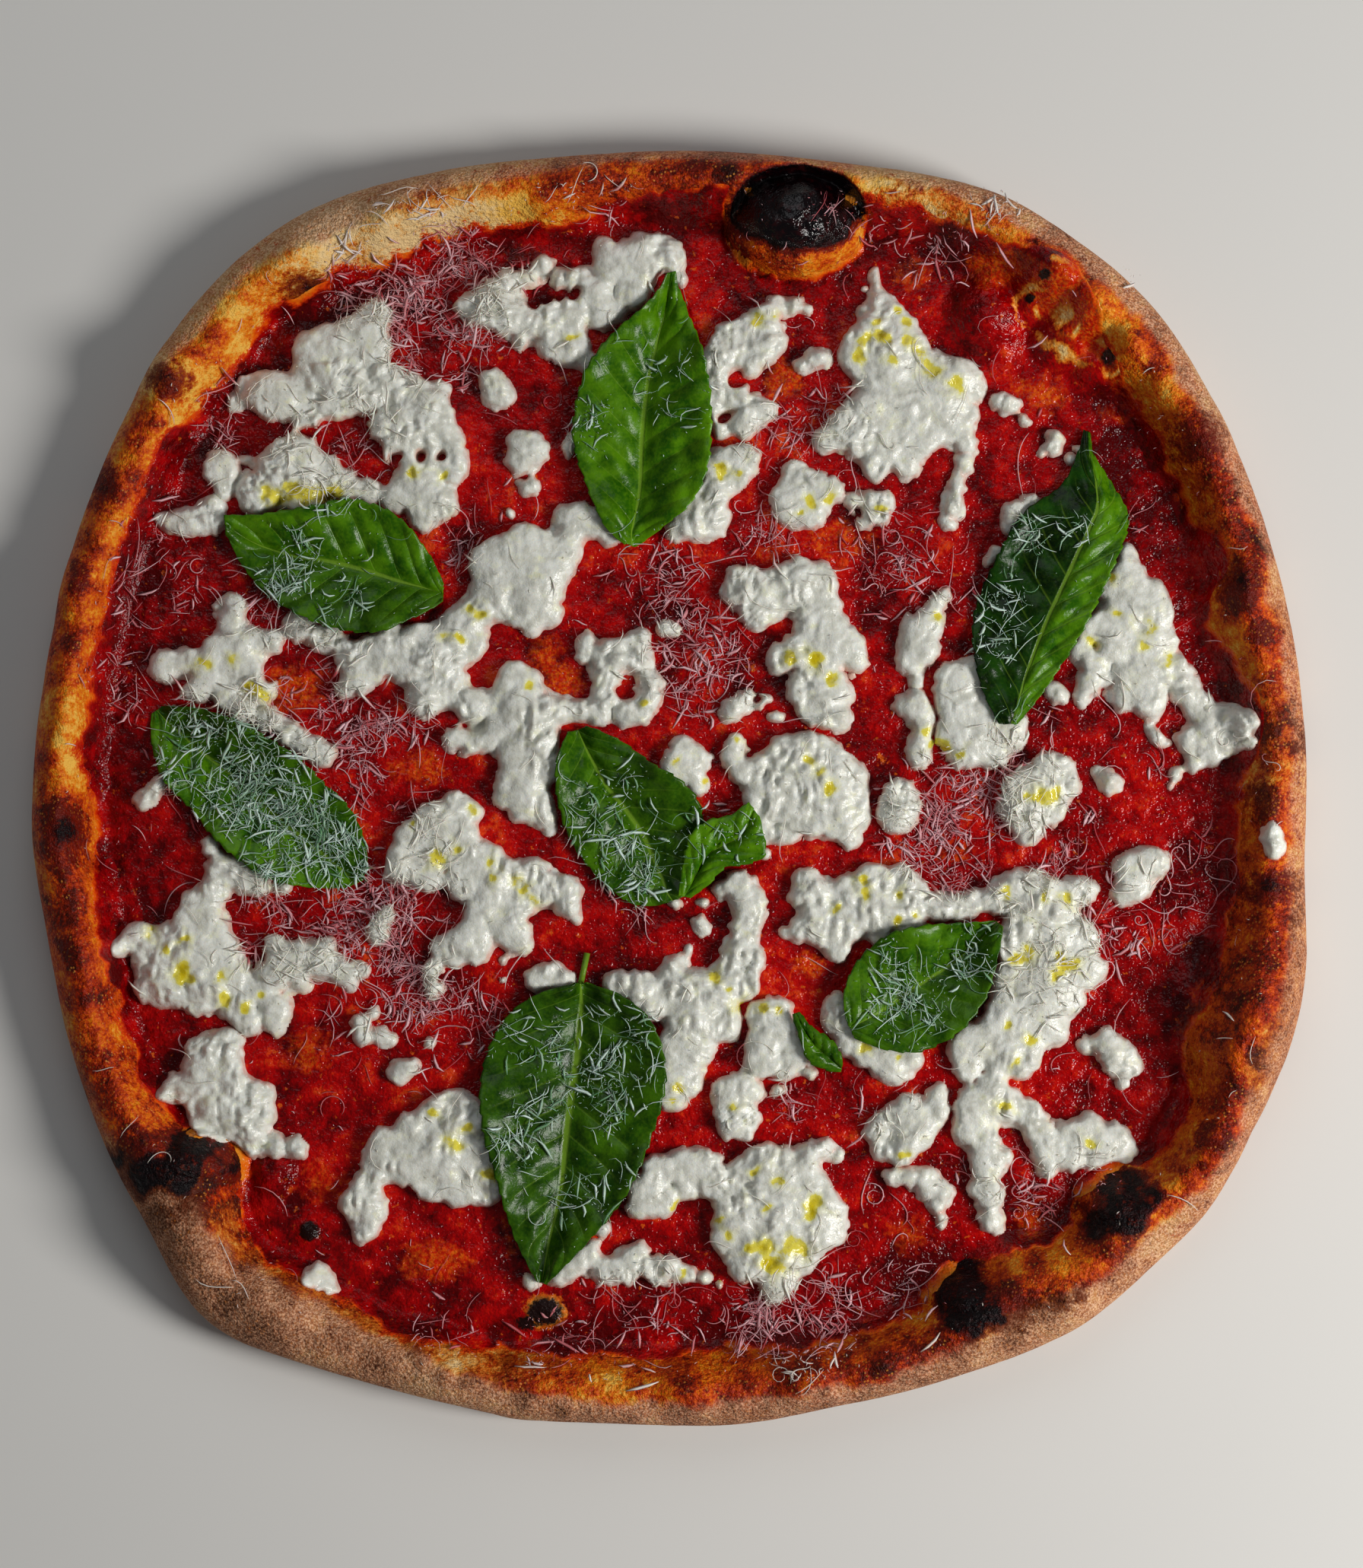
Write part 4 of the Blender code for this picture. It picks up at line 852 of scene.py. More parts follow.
# torn pieces, in the order of the frame's nodes: each is lumps of x, y, radius
curds = (
    # upper left, on both sides of its tear
    ((-78, 124, 5), (-83, 119.5, 6), (-79, 117, 6), (-90, 116, 6.5), (-95, 115, 5.5), (-94, 108, 6.5),
     (-86, 110, 7), (-80, 110, 5.5), (-88, 103, 6.5), (-81, 104, 6.5), (-94, 101, 4), (-105, 103, 7),
     (-99, 102, 6), (-110, 105, 5), (-76, 93, 3.5), (-77, 88.5, 3), (-73, 76, 4), (-75, 106, 6),
     (-64, 97, 8), (-72, 93, 8), (-60, 90, 6), (-58, 84, 5), (-66, 82, 6), (-65, 76, 6), (-60, 74, 5),
     (-70, 78, 5), (-119, 84, 5.5), (-109, 77, 6), (-100, 84, 9), (-92, 82, 6), (-97, 76, 6),
     (-86, 79, 4.5), (-80, 78, 4), (-95, 92, 6), (-115.5, 101, 2.5), (-68, 103, 6), (-61, 105, 2.5),
     (-66, 70, 3.5), (-112, 86, 1.5), (-118, 78, 3)),
    # left, by the rim
    ((-134, 70, 2.5), (-130, 69, 4), (-125, 70, 4.5), (-121, 72, 4), (-120, 69, 3), (-121, 75, 2.5)),
    # top, left of the long leaf
    ((-55, 127, 3), (-50, 126, 5), (-45, 125, 6), (-43, 133, 4), (-38, 134, 3), (-34, 138, 3),
     (-28, 134, 3.5), (-24, 134, 3.5), (-39, 123, 5), (-33, 123, 5.5), (-27, 124, 5.5), (-30, 116, 5),
     (-26, 116, 5), (-22, 112, 3), (-20, 130, 5), (-18, 124, 4), (-15, 138, 6), (-9, 138, 7), (-4, 143, 4),
     (0, 140, 4.5), (-10, 130, 5), (-47, 130, 4.5), (-40, 117, 2.5), (-18, 143, 3), (-8, 144, 3),
     (2, 134, 2.5), (-15, 126, 3.5), (-27, 89, 2.5), (-25, 92, 2)),
    # drops left of the long leaf
    ((-47, 107, 3.8), (-44.5, 103.5, 3.8), (-47, 103, 3)),
    ((-39, 90, 5), (-36, 89, 4.5), (-40, 86, 4), (-37, 79, 2.3), (-39, 78.3, 1.5), (-35.5, 79.5, 1.5),
     (-42.5, 72, 1.8)),
    # right of the long leaf
    ((33, 127, 3), (28, 127, 3.2), (24, 122, 5.5), (26, 117, 5), (19, 119, 5.5), (21, 113, 5), (14, 117, 5),
     (12, 112, 5), (12, 106, 4.5), (17, 103, 4.5), (22, 99, 4.5), (25, 99, 3.5), (19, 95, 4), (13, 97, 3),
     (10, 102, 4), (36, 126, 2), (13, 93, 2.5)),
    ((20, 86, 4.5), (15, 86, 4.5), (11, 84, 4), (18, 81, 3.5), (12, 78, 5), (8, 75, 5), (12, 71, 4),
     (6, 70, 5.5), (2, 68, 4), (10, 68, 3), (13, 67, 1.5)),
    ((34.5, 111.5, 2.6), (38.5, 112.7, 3), (41, 113, 2)),
    # upper right, with its long tail
    ((55, 130, 2.2), (56, 127, 3.5), (59, 124, 4), (62, 121, 4), (54, 120, 5.5), (50, 116, 5.5),
     (48, 113, 4), (57, 114, 7), (64, 115, 5), (52, 109, 5), (58, 107, 7), (68, 110, 5.5), (74, 108, 6),
     (78, 108, 5), (72, 102, 7), (64, 101, 7), (55, 100, 7), (46, 94, 5.5), (42, 92, 4), (50, 91, 5),
     (54, 86, 4.5), (58, 92, 6), (62, 86, 4.5), (66, 92, 6), (72, 95, 5), (76, 94, 4), (79, 98, 3),
     (78, 90, 3), (77.5, 85, 3), (75.5, 80, 2.8), (75, 76, 2.4), (74.5, 73, 2.4), (54, 136, 1.3),
     (54, 133, 1.8), (51, 132, 1), (51, 126, 1.5), (81, 104, 2.5), (50, 97, 6), (40, 90, 2.5), (54, 83, 3),
     (63, 82.5, 2.2), (74.5, 73, 2), (72, 70, 1.6), (74, 68.5, 1.8)),
    ((87, 101.5, 3), (90, 100.5, 2.6), (93, 97.5, 2), (94.5, 95.5, 0.9)),
    ((101.5, 92.5, 2.8), (101, 89, 2.5), (98, 87.5, 1.3), (105.5, 86, 1.8), (108, 88.5, 1.3)),
    # upper centre, right
    ((33, 83, 3.5), (31, 77, 5), (37, 79, 5), (42, 78, 4.5), (31, 73, 4.5), (37, 72, 4.5), (48, 75, 3),
     (53, 75, 3.3), (56, 75, 3), (55, 71, 3.5), (51, 70, 2.8), (34, 70, 2.5)),
    # arch above the centre
    ((20, 53, 6), (17, 50, 3.5), (23, 47, 5.5), (28, 53, 5.5), (34, 55, 6), (33, 50, 4.5), (39, 54, 5.5),
     (40, 48, 5), (37, 43, 5), (42, 42, 5), (41, 36, 6), (47, 37, 5), (34, 36, 4.5), (30, 34, 4.5),
     (37, 31, 5), (35, 25, 4.5), (41, 26, 6), (38, 20, 5), (43, 19, 4.5), (22, 44, 3), (16, 55.5, 1),
     (28, 48, 4), (49, 33, 3.5), (28, 31.5, 2.5), (45, 16.5, 2.5), (45, 24, 3)),
    ((20, 23.5, 2.5), (17, 21, 3.2), (15, 19, 2.2), (24.5, 22, 2.6), (16, 18, 1.5), (27, 18.5, 1.7),
     (29, 18, 1.3)),
    # the big net left of the centre
    ((-28, 71, 3.5), (-24, 70, 5), (-19, 69, 4.5), (-15, 66, 3.5), (-38, 62, 8), (-46, 58, 8), (-36, 54, 9),
     (-30, 60, 6), (-27, 65, 4), (-46, 50, 7), (-38, 46, 6), (-32, 46, 4), (-52, 45, 5), (-56, 42, 5),
     (-60, 36, 7), (-66, 38, 6), (-62, 30, 8), (-70, 34, 7), (-78, 34, 7), (-84, 34, 5), (-74, 40, 4),
     (-82, 28, 4.5), (-64, 24, 5.5), (-57, 24, 4.5), (-52, 21, 4.5), (-88, 38, 3), (-92, 39, 4),
     (-98, 41, 3.5), (-105, 38, 3.5), (-110, 38, 4), (-115, 36, 5), (-120, 36, 4.5), (-127, 33, 4),
     (-133, 32, 4.5), (-116, 43, 4), (-115, 48, 3.5), (-121, 30, 5.5), (-113, 30, 5.5), (-125, 25, 4),
     (-117, 23, 4), (-108, 25, 3.5), (-113, 20, 4), (-106, 17, 4), (-100, 13, 4), (-95, 10, 4),
     (-91, 8, 3.5), (-41, 30, 4), (-42, 26, 5), (-37, 27, 4), (-46, 21, 4), (-38, 20, 7), (-44, 16, 5),
     (-36, 12, 7), (-40, 8, 6), (-34, 5, 6), (-40, 1, 6), (-53, 11, 3.5), (-48, 12, 3.5), (-43, -3, 4),
     (-37, -4, 6), (-33, -9, 3), (-29, 20, 3.5), (-24, 20, 3.2), (-19, 19, 3.5), (-17, 24, 4), (-17, 29, 4),
     (-16, 34, 5), (-11, 36, 4.5), (-8, 39, 3), (-22, 37, 3), (-12, 19, 3.5), (-8, 20, 4), (-5, 23, 3.5),
     (-6, 28, 3), (-8, 33, 3), (-36, 41, 2), (-54, 38, 6), (-86, 25.5, 3), (-66, 21, 3.5), (-52, 21, 4.5),
     (-99, 44, 2.5), (-134, 30, 3.5), (-120, 47, 1.5), (-108, 28, 4.5), (-57, 13, 3.2), (-58, 11, 2),
     (-32, 20, 4), (-32, -12, 1.2), (-41, -8, 2), (-23, 34, 2.5), (-22, 40, 1.5), (-4, 27, 2.3),
     (-9, 33, 3)),
    ((-2, 42, 2.5), (1, 41, 2)),
    # right of the centre: a horn and a broad lump
    ((17, 12, 3), (16, 8, 3.5), (18, 4, 3.5), (21, 3, 4), (24, 6, 3), (30, 9, 5), (36, 8, 7), (42, 6, 6),
     (47, 2, 5), (32, 2, 7), (40, 0, 8), (47, -4, 5.5), (28, -4, 6), (36, -7, 7), (44, -9, 6),
     (47, -14, 3.5), (31, -12, 3.5), (24, -3, 5), (24, -12, 3.5), (50, -9, 3), (28, -13, 2.5), (22, -9, 4)),
    # column below the centre
    ((13, -27, 2.5), (18, -26, 4.5), (21, -31, 5), (20, -37, 4.5), (19, -43, 4.5), (17, -46, 4.5),
     (22, -46, 3.5), (20, -52, 4.5), (15, -49, 3.5), (-14, -52, 4), (-8, -53, 5), (-5, -57, 6), (0, -50, 4),
     (3, -55, 6), (8, -54, 6), (13, -55, 5.5), (6, -62, 7), (13, -62, 5.5), (2, -70, 7), (8, -70, 4),
     (4, -78, 5), (0, -82, 4), (-2, -78, 5), (25, -18, 2), (1, -47, 2.5), (16, -64, 2.5), (8, -36, 2),
     (9, -38, 1.6), (6, -35, 1.2), (5, -43, 1.5), (8.5, -31, 1.3), (1, -31, 2)),
    ((3, 10, 3.5), (7, 8, 3.5), (2, 5, 5), (6, 3, 4), (7, -1, 2.5), (10.5, 7, 0.8)),
    ((72, 51, 2), (70, 48, 3), (68, 43, 4.5), (64, 42, 3.5), (65, 37, 5), (62, 33, 3.2), (64, 31.5, 2.5),
     (67, 36, 4.5), (65, 27, 2.3)),
    ((65, 23, 3), (65, 20, 4), (67, 17, 3.5), (66, 13, 3), (65, 9, 3.5), (61, 21, 2.8), (65.5, 7, 2.8)),
    ((74, 28, 5), (78, 27, 5), (80, 30, 4), (76, 20, 6), (82, 19, 6), (74, 14, 5), (80, 12, 6.5),
     (86, 14, 5.5), (77, 8, 4), (85, 8, 4), (90, 13, 4), (92, 17, 3), (72, 24, 3.5)),
    ((91, 72, 4), (95, 75, 2.8), (89, 68, 2.4), (86, 62, 2.5), (84, 59, 1.8)),
    # the big piece at the right
    ((120, 61, 3), (120, 55, 5.5), (116, 52, 4), (126, 50, 5), (120, 46, 6), (128, 45, 5.5), (114, 42, 5),
     (110, 41, 4), (118, 38, 6), (126, 37, 6), (131, 38, 3.5), (108, 36, 3.5), (112, 32, 4), (110, 27, 3.5),
     (120, 30, 4), (120, 25, 4), (126, 30, 6), (126, 23, 5), (133, 30, 5), (136, 25, 4.5), (139, 21, 4.5),
     (143, 16, 5), (147, 15, 4), (143, 10, 5), (137, 12, 4), (138, 6, 3), (108, 22.5, 2.5), (115, 28, 2),
     (119, 22, 3), (127, 20, 2.5), (144, 16, 5.5), (148, 16, 4), (149, 12, 3), (151.5, 16.5, 1.8),
     (151.5, 11, 1.6), (147, 19.5, 1.8), (146, 11, 1.8), (133, 3, 1.8), (131.5, 0, 1.3), (128, 13, 2.4),
     (126, 15, 0.8), (131, 11, 0.8), (156.5, -13, 3), (158, -16, 2.5), (157, -18.5, 1.8)),
    ((101, 25, 3), (103, 23, 2.4), (99, 26, 1.5)),
    ((115, 2, 2.6), (115, -1, 2.2), (117, 1, 2.2), (112, 3.5, 1.5)),
    ((60, -2, 4.5), (59, -7, 5.5), (62, -6, 4), (60, -10, 3)),
    ((103, 4, 4), (99, 5, 4.5), (105, 0, 3.5), (99, 0, 6), (93, -2, 6.5), (90, -6, 4), (94, -8, 6),
     (100, -6, 5), (94, -13, 3)),
    # the long piece at the lower right
    ((36, -25, 4), (39, -29, 4.5), (38, -34, 4), (40, -38, 5), (44, -43, 4), (46, -36, 6), (46, -28, 5),
     (53, -25, 5.5), (54, -33, 6.5), (60, -25, 5), (64, -29, 5), (62, -35, 5), (70, -32, 4), (75, -32, 4),
     (80, -31, 4), (86, -30, 4.5), (91, -25, 3.5), (95, -28, 6), (101, -29, 5), (108, -28, 4),
     (103, -35, 6), (95, -36, 7), (108, -40, 5), (90, -42, 6), (100, -44, 8), (108, -48, 6), (90, -51, 6),
     (98, -54, 8), (104, -56, 5), (88, -59, 6), (95, -63, 7), (85, -66, 7), (92, -71, 6), (78, -68, 6),
     (78, -74, 4.5), (84, -80, 5), (80, -84, 6), (78, -90, 4.5), (82, -92, 5), (83, -99, 5),
     (82, -106, 4.5), (84, -114, 3.5), (88, -84, 5), (94, -86, 4.5), (97, -91, 4.5), (99, -96, 4.5),
     (105, -92, 4.5), (110, -92, 5), (116, -94, 5), (105, -98, 4), (34, -29, 3), (30, -38, 2.2),
     (34, -38, 3.5), (55, -40, 3), (89, -28, 4), (111, -27, 2), (106, -27, 3), (112, -48, 3), (101, -64, 4),
     (86, -74, 4), (84, -108, 4), (86, -117, 1.5), (88, -98, 2.5), (99, -101, 2.8), (110, -88, 3),
     (117, -91, 3), (120, -95, 3), (112, -98, 3.5)),
    ((70, -81, 3.5), (69, -86, 4.5), (62, -85, 4.5), (57, -88, 4.5), (54, -91, 3.5), (64, -91, 6),
     (60, -96, 4.5), (55, -96, 2.5)),
    ((58, -102.5, 2.6), (62, -103, 3), (67, -103, 3.5), (71, -106, 3), (70, -110, 2.4), (71, -113, 2),
     (67, -106, 2.8), (72, -107, 2), (71, -116, 1)),
    ((43, -57, 3.5), (44, -62, 4), (47, -67, 4.5), (50, -62, 5), (52, -70, 5), (57, -73, 5), (63, -71, 4),
     (60, -76, 3)),
    ((23, -59.5, 3.5), (28, -59, 4.5), (25, -66, 5.5), (31, -64, 4), (33, -70, 4.5), (24, -72, 5),
     (30, -74, 3.5), (18, -79, 4), (14, -80, 3.5), (21, -80, 3.5), (16, -86, 5.5), (20, -87, 4),
     (16, -90, 3.5), (37, -76, 2.2), (28, -80, 2.2), (20, -91, 2.5)),
    # lower left
    ((-57, -84, 5), (-62, -86, 5), (-52, -88, 6), (-68, -90, 5), (-75, -94, 5), (-60, -96, 8),
     (-50, -98, 6), (-68, -99, 7), (-77, -100, 5), (-55, -105, 6), (-48, -106, 4.5), (-80, -106, 4.5),
     (-80, -111, 4.5), (-80, -116, 4), (-63, -105, 5), (-78, -112, 4), (-83, -110, 4.5), (-81, -118, 2.5)),
    # bottom centre
    ((-7, -106, 5), (-8, -110, 4.5), (-4, -101, 5), (-2, -109, 4.5), (3, -100, 5), (4, -106, 3.5),
     (9, -100, 5.5), (12, -105, 5), (26, -100, 7), (20, -103, 6), (33, -101, 6), (40, -95, 3), (44, -97, 2),
     (27, -110, 9), (36, -109, 8), (42, -112, 5), (18, -112, 7), (16, -118, 6), (27, -120, 9),
     (36, -118, 7), (42, -117, 4.5), (20, -125, 6), (28, -128, 6), (34, -125, 4), (27, -133, 3.5),
     (36, -96, 3), (13, -131, 1.6)),
    ((-37, -130, 2.5), (-30, -129, 3), (-26, -126, 4), (-22, -123, 4), (-17, -127, 4), (-12, -127, 4.5),
     (-9, -123, 4), (-4, -127, 4.5), (0, -127, 3.5), (4, -128, 2.8), (9, -129, 2.2), (-18, -116, 2.5)),
    # left, with its arm
    ((-121, -16, 3), (-118, -22, 4.5), (-113, -23, 5), (-109, -26, 4), (-120, -28, 4.5), (-126, -31, 4),
     (-127, -36, 5), (-120, -39, 5), (-133, -40, 4), (-140, -40, 5), (-136, -46, 6), (-127, -45, 8),
     (-118, -43, 5), (-138, -53, 4.5), (-130, -53, 6), (-122, -53, 6.5), (-117, -50, 5.5), (-114, -58, 5),
     (-111, -62, 4), (-104, -59, 4.5), (-108, -54, 4), (-104, -49, 5), (-98, -45, 5), (-92, -46, 5),
     (-86, -49, 4), (-98, -50, 3.5), (-102, -27, 2.5), (-121, -34, 3.5), (-144, -43, 2.5), (-135, -56, 2.5),
     (-125, -57, 4), (-113, -51, 3.5), (-104, -63, 3.5), (-104, -42, 3.5), (-81, -49, 2.5), (-97, -53, 1.8),
     (-91, -42, 3), (-84, -52, 2)),
    ((-124, -69, 4), (-118, -69, 5), (-124, -74, 4.5), (-117, -75, 5.5), (-130, -79, 4), (-124, -81, 6),
     (-115, -82, 7), (-108, -81, 4.5), (-121, -87, 5.5), (-112, -89, 6), (-117, -91, 3), (-110, -94, 4),
     (-104, -95, 3.5), (-98, -95, 3.5), (-116, -67, 3.5), (-132, -81, 2.5), (-107, -86, 3.5)),
    ((-75, -34, 3), (-77, -38, 3.2), (-78, -41, 2)),
    # left of the big leaf
    ((-57, -5, 4), (-53, -7, 3.5), (-63, -9, 5.5), (-57, -11, 5), (-69, -13, 4.5), (-62, -17, 6),
     (-70, -20, 5.5), (-64, -24, 5), (-54, -19, 5.5), (-48, -19, 4.5), (-55, -25, 5.5), (-47, -26, 6),
     (-42, -23, 4.5), (-36, -23, 4), (-34, -27, 5), (-28, -27, 4.5), (-40, -31, 5), (-49, -33, 5.5),
     (-42, -38, 5.5), (-52, -40, 5.5), (-52, -44, 4), (-61, -43, 3), (-57, -41, 4), (-63, -48, 3),
     (-62, -53, 2.8), (-53, -13, 3), (-72, -22, 3.5), (-27, -31, 4), (-25, -35, 1.6), (-39, -42, 3),
     (-57, -46, 3), (-63, -56, 1.3), (-44, -46, 1.5), (-44, -51, 1.4)),
    ((-78, -60, 2), (-82, -62, 2.8), (-81, -66, 3), (-76, -66, 2.5), (-73, -67, 1.8), (-63.5, -67.5, 2)),
    ((-70, -74, 3.2), (-72, -76, 3), (-68, -74, 2.5)),
    ((-92, -127, 2.8), (-94.5, -129, 2.4), (-90, -130, 2.2), (-88, -132, 1.3)),
    ((126, -20, 4.5), (121, -22, 5), (122, -27, 4.5), (129, -21, 3), (118, -29, 3), (119, -78, 2.5),
     (115, -66, 2.5)),
    ((114, -67, 4), (109, -68, 2.4), (117, -71, 5.5), (120, -74, 4)),
    ((-36, -51, 3.5), (-31, -50, 4), (-28, -51, 3)),
    ((-139, -4, 3), (-137, -2, 3), (-134, 1, 2.5)))
# gaps that show the sauce: x, y, radius
curdGaps = (
    (-66, 87, 1), (-61, 86, 0.9), (-36, 128.5, 1.6), (-32.5, 129, 1.8), (-29, 130, 1.6),
    (-25.5, 130.5, 1.2), (-90, 92, 4), (-85, 91.5, 5), (-79, 88, 3), (-96, 93.5, 1.8), (-101, 94, 1.2),
    (-73, 87, 1.4), (22.5, 22.5, 0.8), (26, 20, 1.2), (18, 108, 2.2), (14.5, 98, 1.3), (49.5, 72, 1),
    (71.5, 85, 3.2), (69, 82, 2.2), (-98, 29.5, 4), (-104, 30, 3), (-91, 29, 2.6), (-13, 25, 2),
    (-11.5, 27.5, 1.6))
# pools of oil on the burrata: x, y, half width
oilPools = (
    (-68, 82, 1.8), (-60, 82, 1.6), (-106, 76, 2.4), (-101, 76.5, 2.6), (-96, 76, 2.8), (-91, 77, 2.4),
    (-87, 77, 2), (-26, 118, 1.6), (23, 123, 1.6), (27, 124, 1.5), (13, 84, 1.8), (14, 82, 1.8),
    (19, 82, 1.5), (51, 117, 2), (49, 113, 2), (56, 118, 2.2), (58, 112, 2), (62, 122, 1.8), (63, 117, 2),
    (69, 109, 2.8), (75, 106, 2.6), (66, 114, 2), (60, 126, 1.6), (54, 122, 1.6), (37, 75, 1.8),
    (42, 76, 1.6), (33, 71.5, 1.6), (55, 73, 1.5), (44, 71.5, 1.3), (31, 33, 2.4), (37, 34, 2), (38, 32, 2),
    (42.5, 28, 1.6), (-123, 32, 2.6), (-115, 33, 2), (-110, 26, 2.6), (-107, 24, 2.2), (-53, 47, 1.8),
    (-50, 45, 1.8), (-59, 39, 1.6), (-55, 39, 1.4), (-7, 22, 1.5), (-37, 26, 1.4), (36.5, 7, 2),
    (40, 3.5, 1.7), (42, -1, 2), (18, 12, 1.4), (12, -50, 1.5), (15, -53, 1.5), (18, -57, 2), (2, -79, 1.5),
    (0, -83, 1.5), (1, 6, 1.4), (9, 1, 1.3), (70, 44, 1.6), (66.5, 14, 1.6), (69.5, 11, 1.6),
    (72, 10.5, 1.5), (76, 8, 1.6), (126, 42, 2.4), (111, 38, 1.8), (131, 33, 2.2), (117, 45, 1.6),
    (116, 54, 1.5), (124, 36, 1.8), (93, -3, 2), (97, -3, 2.4), (101, -2.5, 1.8), (50, -24, 1.8),
    (51, -28, 2.2), (43, -33, 1.6), (60, -28, 1.7), (60, -36, 1.6), (64.5, -34, 1.4), (88, -28, 1.6),
    (98, -29, 1.6), (104, -30, 1.8), (94, -44, 2.6), (90, -45, 2), (103, -46, 1.8), (106, -47, 2.4),
    (101, -50, 1.8), (88, -63, 1.6), (94, -67, 1.7), (90, -73, 1.6), (87, -84, 2.4), (110, -94, 1.5),
    (61.5, -96, 1.5), (51, -68.5, 2), (60, -70.5, 1.5), (24, -58, 1.6), (28, -59, 1.5), (17, -85, 1.5),
    (-57, -94, 2.8), (-62, -86, 1.7), (-53, -90, 1.6), (-47, -102, 2.2), (37, -109, 2.4), (36.5, -112, 2),
    (24, -121, 2.6), (29, -126, 3), (31, -120, 2.6), (35, -122, 2.2), (26, -125, 2.4), (13, -114, 1.8),
    (15, -118, 1.8), (22, -101, 1.6), (28, -104, 1.6), (25, -111, 1.5), (20, -122, 1.8), (1, -110, 1.4),
    (3, -127.5, 1.4), (5, -121, 1.4), (13, -129, 1.3), (-137, -39, 2), (-128, -40, 1.7), (-128, -48, 2.4),
    (-127, -51, 2), (-118, -50, 1.7), (-117, -56, 2.2), (-111, -58, 1.7), (-108, -55, 1.7),
    (-132, -44, 1.5), (-52.5, -6, 1.6), (-67, -11, 1.5), (-61, -19, 2.2), (-56, -17, 1.7), (-47, -20, 1.6),
    (-46, -24, 1.6), (-39, -26.5, 2.2), (-36, -30, 1.5))


def softest(values, softness):
    # the highest of each column, blended where two are close
    most = values.max(0)
    return most + softness * np.log(np.exp((values - most) / softness).sum(0))


def curdEdge(x, y, lumps):
    # millimetres inside the torn edge, less than 0 outside
    place = flat(x, y)
    apart = np.hypot(x - lumps[:, 0, None], y - lumps[:, 1, None])
    inside = softest(lumps[:, 2, None] - apart, curd["run"]) - curd["drawnIn"]
    inside += ripples(place, *curd["ragged"])
    gapX, gapY = x + 1.3 * noise(place, 4, 53), y + 1.3 * noise(place, 4, 54)
    for px, py, size in curdGaps:
        inside = np.minimum(inside, np.hypot(gapX - px, gapY - py) - size)
    return inside


def curdHeight(x, y, lumps, inside):
    place = flat(x, y)
    none = np.zeros_like(x)
    radius = lumps[:, 2, None]
    apart = np.hypot(x - lumps[:, 0, None], y - lumps[:, 1, None]) / radius
    tall = curd["tall"] * radius + curd["add"] * np.clip(radius / 3, 0.4, 1)
    dome = np.where(apart < 1, tall * np.sqrt(np.clip(1 - apart ** 2, 0, 1)), -3 * (apart - 1) * radius)
    height = softest(curd["sink"] * radius + dome, 1.5)
    height = np.minimum(height, curd["level"] + curd["pressed"] * (height - curd["level"]))
    # curds: rounded lumps of three sizes with creases between, and a few pulled strands
    bent = place + 1.4 * np.stack([noise(place, 5, 31), noise(place, 5, 32), none], 1)
    lumpy = sum(share * (2.4 * np.sqrt(noise(bent, size, shift) ** 2 + 0.02) - 0.9)
                for size, share, shift in curd["lumps"])
    way = 0.75 + 0.9 * noise(place, 26, 54)
    along = bent[:, 0] * np.cos(way) + bent[:, 1] * np.sin(way)
    across = bent[:, 1] * np.cos(way) - bent[:, 0] * np.sin(way)
    strand = 1 - 2 * np.abs(noise(np.stack([along / 2.6, across, none], 1), 1.6, 34))
    stringy = ease(noise(place, 12, 39), -0.1, 0.5)
    relief = lumpy + 0.34 * strand * stringy + 0.10 * noise(place, 1.2, 40)
    relief = relief * (0.36 + 0.84 * ease(noise(place, 15, 44), -0.25, 0.4))
    height = height * 0.93 + relief * np.clip(height / 4, 0.25, 1)
    rounded = np.sqrt(1 - (1 - np.clip(inside / curd["edge"], 0, 1)) ** 2)
    return np.maximum(height, curd["least"]) * rounded


def toEdge(x, y, lumps):
    # moves points that are near the torn edge on to it
    for _ in range(2):
        here = curdEdge(x, y, lumps)
        slopeX = (curdEdge(x + 0.1, y, lumps) - here) / 0.1
        slopeY = (curdEdge(x, y + 0.1, lumps) - here) / 0.1
        steep = np.maximum(0.3, slopeX ** 2 + slopeY ** 2)
        x = x - np.clip(here * slopeX / steep, -0.4, 0.4)
        y = y - np.clip(here * slopeY / steep, -0.4, 0.4)
    return x, y, np.maximum(0, curdEdge(x, y, lumps))


def deleteFaces(thing, unwanted):
    activate(thing)
    mode("EDIT")
    bpy.ops.mesh.select_mode(type="FACE")
    bpy.ops.mesh.select_all(action="DESELECT")
    mode("OBJECT")
    thing.data.polygons.foreach_set("select", unwanted)
    mode("EDIT")
    bpy.ops.mesh.delete(type="FACE")
    bpy.ops.mesh.select_all(action="SELECT")
    mode("OBJECT")


